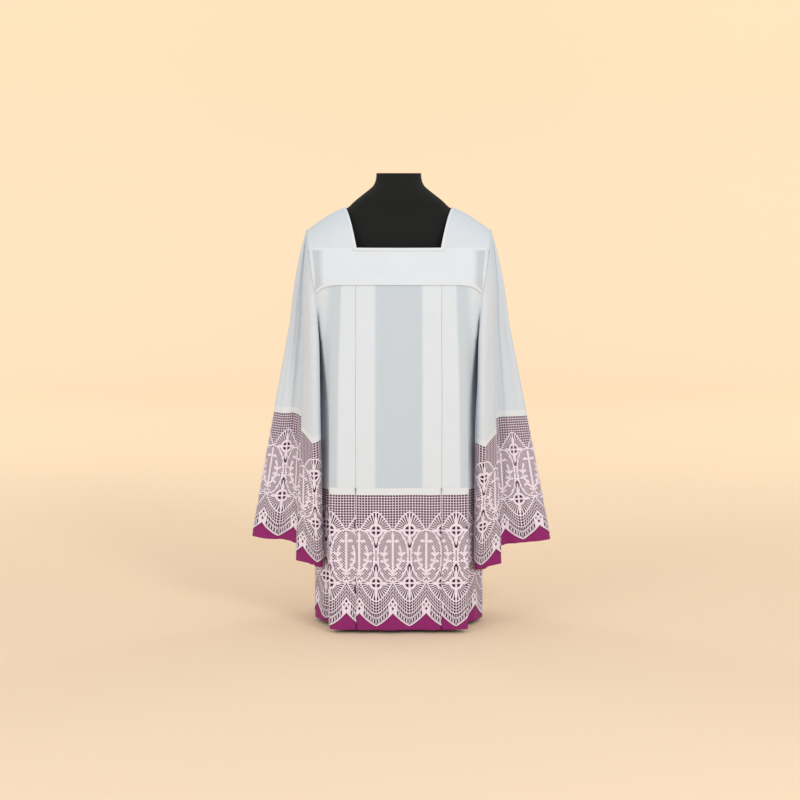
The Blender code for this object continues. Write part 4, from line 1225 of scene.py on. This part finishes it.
for sleeve in SLEEVES:
    shape = SleeveShape(sleeve)
    half_g = [*SIDE_COLUMNS, *FOLD_SHARES, *UNDERARM_COLUMNS]
    key_g = half_g + [2 - g for g in reversed(half_g[:-1])]
    fine_g = finer(key_g, SLEEVE_STEP)
    marks = arc_lengths(np.array([shape.above_cuff(g, SLEEVE_LACE / 2) for g in fine_g]))
    girth = marks[-1]
    cuff_rows = two_parts(0.28, SLEEVE_LACE + CUFF_LINING, 26, 20)
    cuff_points = [[shape.above_cuff(g, SLEEVE_LACE - v) for g in fine_g] for v in cuff_rows]
    cuff = Sheet(marks, cuff_rows, np.array(cuff_points), True)
    upper = []
    shares = np.linspace(0.0, 1.0, SLEEVE_ROWS)
    for share in shares:
        upper.append([shape.surface(g, share * (1.0 - SLEEVE_LACE / shape.length(g))) for g in fine_g])
    cloth = Sheet(marks, shares * SLEEVE_CUT, np.array(upper), True)
    # Painted shade: the sleeve's colour is set partway towards the painted grey of one layer of cloth.
    made = cloth.piece(f"cloth_sleeve_{sleeve.name}", WHITE, SLEEVE_PAINTED_LIGHT)
    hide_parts(f"sleeve_{sleeve.name}")
    declare_sheet(cloth)
    count = round(girth / LACE_REPEAT)
    repeat = girth / count
    wide_cuff = wrapped(cuff)
    centres = [(repeat * (CUFF_PHASE + k)) % girth for k in range(count)]
    outer = -float(sleeve.side)
    made = lace_piece(
        f"lace_cuff_{sleeve.name}", wide_cuff, centres, repeat / LACE_REPEAT, SLEEVE_LACE / LACE_HEIGHT,
        lace_cut, pattern.ridges, outer,
    )
    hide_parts(f"cuff_lace_{sleeve.name}_front", f"cuff_lace_{sleeve.name}_back")
    bare = bare_lining(cuff, repeat * CUFF_PHASE, repeat, SLEEVE_LACE / LACE_HEIGHT)
    made = cuff.moved(-outer * CUFF_LINING_INSET).piece(f"lining_cuff_{sleeve.name}", PURPLE, bare)
    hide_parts(f"cuff_band_{sleeve.name}")
    declare_sheet(cuff)


def strap_point(side, share, angle_share):
    """A point of a shoulder band: share 0 the neckline, 1 the armhole; angle_share -1 front, 1 back."""
    ridge_x = NECK_TOP_X + (ARM_TOP_X - NECK_TOP_X) * share
    arm_top_z = ARM_MID_Z + ARM_HALF_Z
    ridge_z = NECK_TOP_Z - (NECK_TOP_Z - arm_top_z) * share**SHOULDER_DROP_POWER
    points, arc, _ = body_curve(round(YOKE_TOP_Z, 6))
    foot_x = NECK_FRONT_X + (points[-1, 0] - NECK_FRONT_X) * share
    foot_depth = np.interp(foot_x, points[:, 0], points[:, 1])
    centre_z = NECK_ARCH_Z + (ARM_MID_Z - NECK_ARCH_Z) * share
    rise = ridge_z - centre_z
    foot_angle = math.acos((YOKE_TOP_Z - centre_z) / rise)
    angle = foot_angle * abs(angle_share)
    depth = foot_depth / math.sin(foot_angle) * math.sin(angle)

    def lean(a):
        return ARM_LEAN * (1 - math.cos(a)) / 2 + ARM_BOW * math.sin(a)

    x = ridge_x - (ridge_x - foot_x) * lean(angle) / lean(foot_angle)
    z = centre_z + rise * math.cos(angle)
    y = depth * BACK_SHARE if angle_share > 0 else -depth
    return np.array((side * x, y, z))


for name, side in (("left", -1), ("right", 1)):
    shares = np.linspace(0.0, 1.0, 24)
    turns = np.linspace(-1.0, 1.0, 64)
    points = np.array([[strap_point(side, c, t) for c in shares] for t in turns])
    strap = Sheet(shares * 0.11, turns * 0.16, points)
    # Painted shade: the shoulder bands get a little of the painted grey.
    made = strap.piece(f"cloth_shoulder_{name}", DOUBLE, DOUBLE_PAINTED_LIGHT)
    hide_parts(f"yoke_shoulder_{name}")
    declare_sheet(strap)

# Seams round the armholes, over the joint between the body and the sleeve
for name, side in (("left", -1), ("right", 1)):
    turns = np.linspace(0.0, 360.0, 145)
    widths = np.linspace(0.0, 1.0, 7)
    points = []
    for turn in turns:
        angle = turn if turn <= 180 else 360 - turn
        x, depth, z = armhole(angle)
        out = np.array((depth / ARM_DEPTH**2, (z - ARM_MID_Z) / ARM_HALF_Z**2))
        out /= np.linalg.norm(out)
        across = SEAM_ACROSS - SEAM_TOP_LESS * max(math.cos(math.radians(angle)), 0.0) ** 2
        row = []
        for share in widths:
            bulge = math.sin(math.pi * share)
            lift = SEAM_ROUND * bulge - SEAM_SUNK * (1 - bulge)
            deep = depth + out[0] * lift
            y = deep * BACK_SHARE if turn > 180 else -deep
            height = z + out[1] * lift - SEAM_TOP_DROP * share**2 * max(out[1], 0.0)
            row.append((side * (x - SEAM_INSIDE + across * share), y, height))
        points.append(row)
    seam = Sheet(widths * SEAM_ACROSS, turns / 360 * 0.75, np.array(points))
    # Painted shade: the armhole seams get a little of the painted grey.
    made = seam.piece(f"seam_armhole_{name}", DOUBLE, DOUBLE_PAINTED_LIGHT)
    declare_sheet(seam)

yoke_controls = np.linspace(-5.0, 5.0, 161)
for back, name in enumerate(("front", "back")):
    points = []
    shares = two_parts(0.14, 1.0, 13, 22)
    for share in shares:
        row = []
        for control, low in zip(yoke_controls, yoke_hem_z(yoke_controls)):
            z = low + (YOKE_TOP_Z - low) * share
            edge = YOKE_EDGE_LIFT * (1 - ease((z - low - YOKE_EDGE) / YOKE_EDGE_SOFT))
            out = -YOKE_OUT * (1 - ease(share / 0.5)) - edge
            x, depth = body_plan(np.array([abs(control)]), 0.0, np.array([out]), z)[0]
            x = math.copysign(x, control) if control else 0.0
            row.append((x, depth * BACK_SHARE if back else -depth, z))
        points.append(row)
    # Painted shade: the yoke's ends take the darker shade colour, while the turned lower edge and the top
    # seam keep the full white.
    end_shade = np.clip((np.abs(yoke_controls) - YOKE_GREY_FROM) / YOKE_GREY_SPAN, 0.0, 1.0)
    edge_rows = np.clip(1.0 - (shares - YOKE_EDGE_SHARE) / 0.01, 0.0, 1.0)
    seam_rows = np.clip((shares - YOKE_SEAM_SHARE) / 0.02, 0.0, 1.0)
    shown = np.maximum(1.0 - end_shade[None, :] * YOKE_END_PAINTED_SHADE, np.maximum(edge_rows, seam_rows)[:, None])
    band = Sheet(yoke_controls * 0.04, shares * 0.09, np.array(points))
    made = band.piece(f"cloth_yoke_{name}", DOUBLE, shown)
    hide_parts(f"yoke_{name}")
    declare_sheet(band)

binding = bpy.data.objects["neck_binding"]
for slot in binding.material_slots:
    slot.material = TRIM

# Floor, backdrop, light and camera
PEACH = plain_material("peach_paper", (0.965, 0.765, 0.55), 0.9, grain=0.5, relief=0.0, uneven=0.01)
FLOOR_NEAR_Y = -8.0
FLOOR_HALF_WIDTH = 9.0
FLOOR_SUNK = 0.0005
BEND_Y = 4.6
BEND_RADIUS = 1.8
BACKDROP_TOP = 6.0
profile = [(FLOOR_NEAR_Y, 0.0), (BEND_Y, 0.0)]
for a in np.radians(np.arange(5, 91, 5)):
    profile.append((BEND_Y + BEND_RADIUS * math.sin(a), BEND_RADIUS - BEND_RADIUS * math.cos(a)))
profile.append((BEND_Y + BEND_RADIUS, BACKDROP_TOP))
floor_points = [(x, y, z - FLOOR_SUNK) for y, z in profile for x in (-FLOOR_HALF_WIDTH, FLOOR_HALF_WIDTH)]
floor_faces = [(2 * k, 2 * k + 1, 2 * k + 3, 2 * k + 2) for k in range(len(profile) - 1)]
floor_mesh = bpy.data.meshes.new("paper_floor")
floor_mesh.from_pydata(floor_points, [], floor_faces)
floor_mesh.materials.append(PEACH)
floor_mesh.shade_smooth()
floor = bpy.data.objects.new("paper_floor", floor_mesh)
bpy.context.scene.collection.objects.link(floor)


def lamp(name, at, aim, size, power):
    """A round soft lamp that points at a place."""
    data = bpy.data.lights.new(name, "AREA")
    data.shape = "DISK"
    data.size = size
    data.energy = power
    made = bpy.data.objects.new(name, data)
    made.location = at
    made.rotation_euler = (Vector(aim) - Vector(at)).to_track_quat("-Z", "Y").to_euler()
    bpy.context.scene.collection.objects.link(made)


lamp("key", (1.7, -3.0, 2.3), (0.0, 0.0, 0.6), 1.2, 38.0)
lamp("fill", (-2.2, -2.6, 1.6), (0.0, 0.0, 0.5), 2.0, 22.0)
lamp("backdrop_left", (-3.2, 2.6, 3.4), (-1.2, 5.6, 0.9), 2.4, 60.0)
lamp("backdrop_right", (3.2, 2.6, 3.4), (1.2, 5.6, 0.9), 2.4, 60.0)

bpy.context.scene.view_settings.view_transform = "Standard"
world = bpy.data.worlds.new("studio")
world.use_nodes = True
world.node_tree.nodes["Background"].inputs["Color"].default_value = (1.0, 0.99, 0.97, 1.0)
world.node_tree.nodes["Background"].inputs["Strength"].default_value = 0.62
bpy.context.scene.world = world

camera_data = bpy.data.cameras.new("camera")
camera_data.lens = CAMERA_LENS
camera_data.sensor_width = 36.0
camera = bpy.data.objects.new("camera", camera_data)
camera.location = CAMERA_AT
camera.rotation_euler = (math.radians(90.0 - CAMERA_DOWN), 0.0, 0.0)
bpy.context.scene.collection.objects.link(camera)
bpy.context.scene.camera = camera
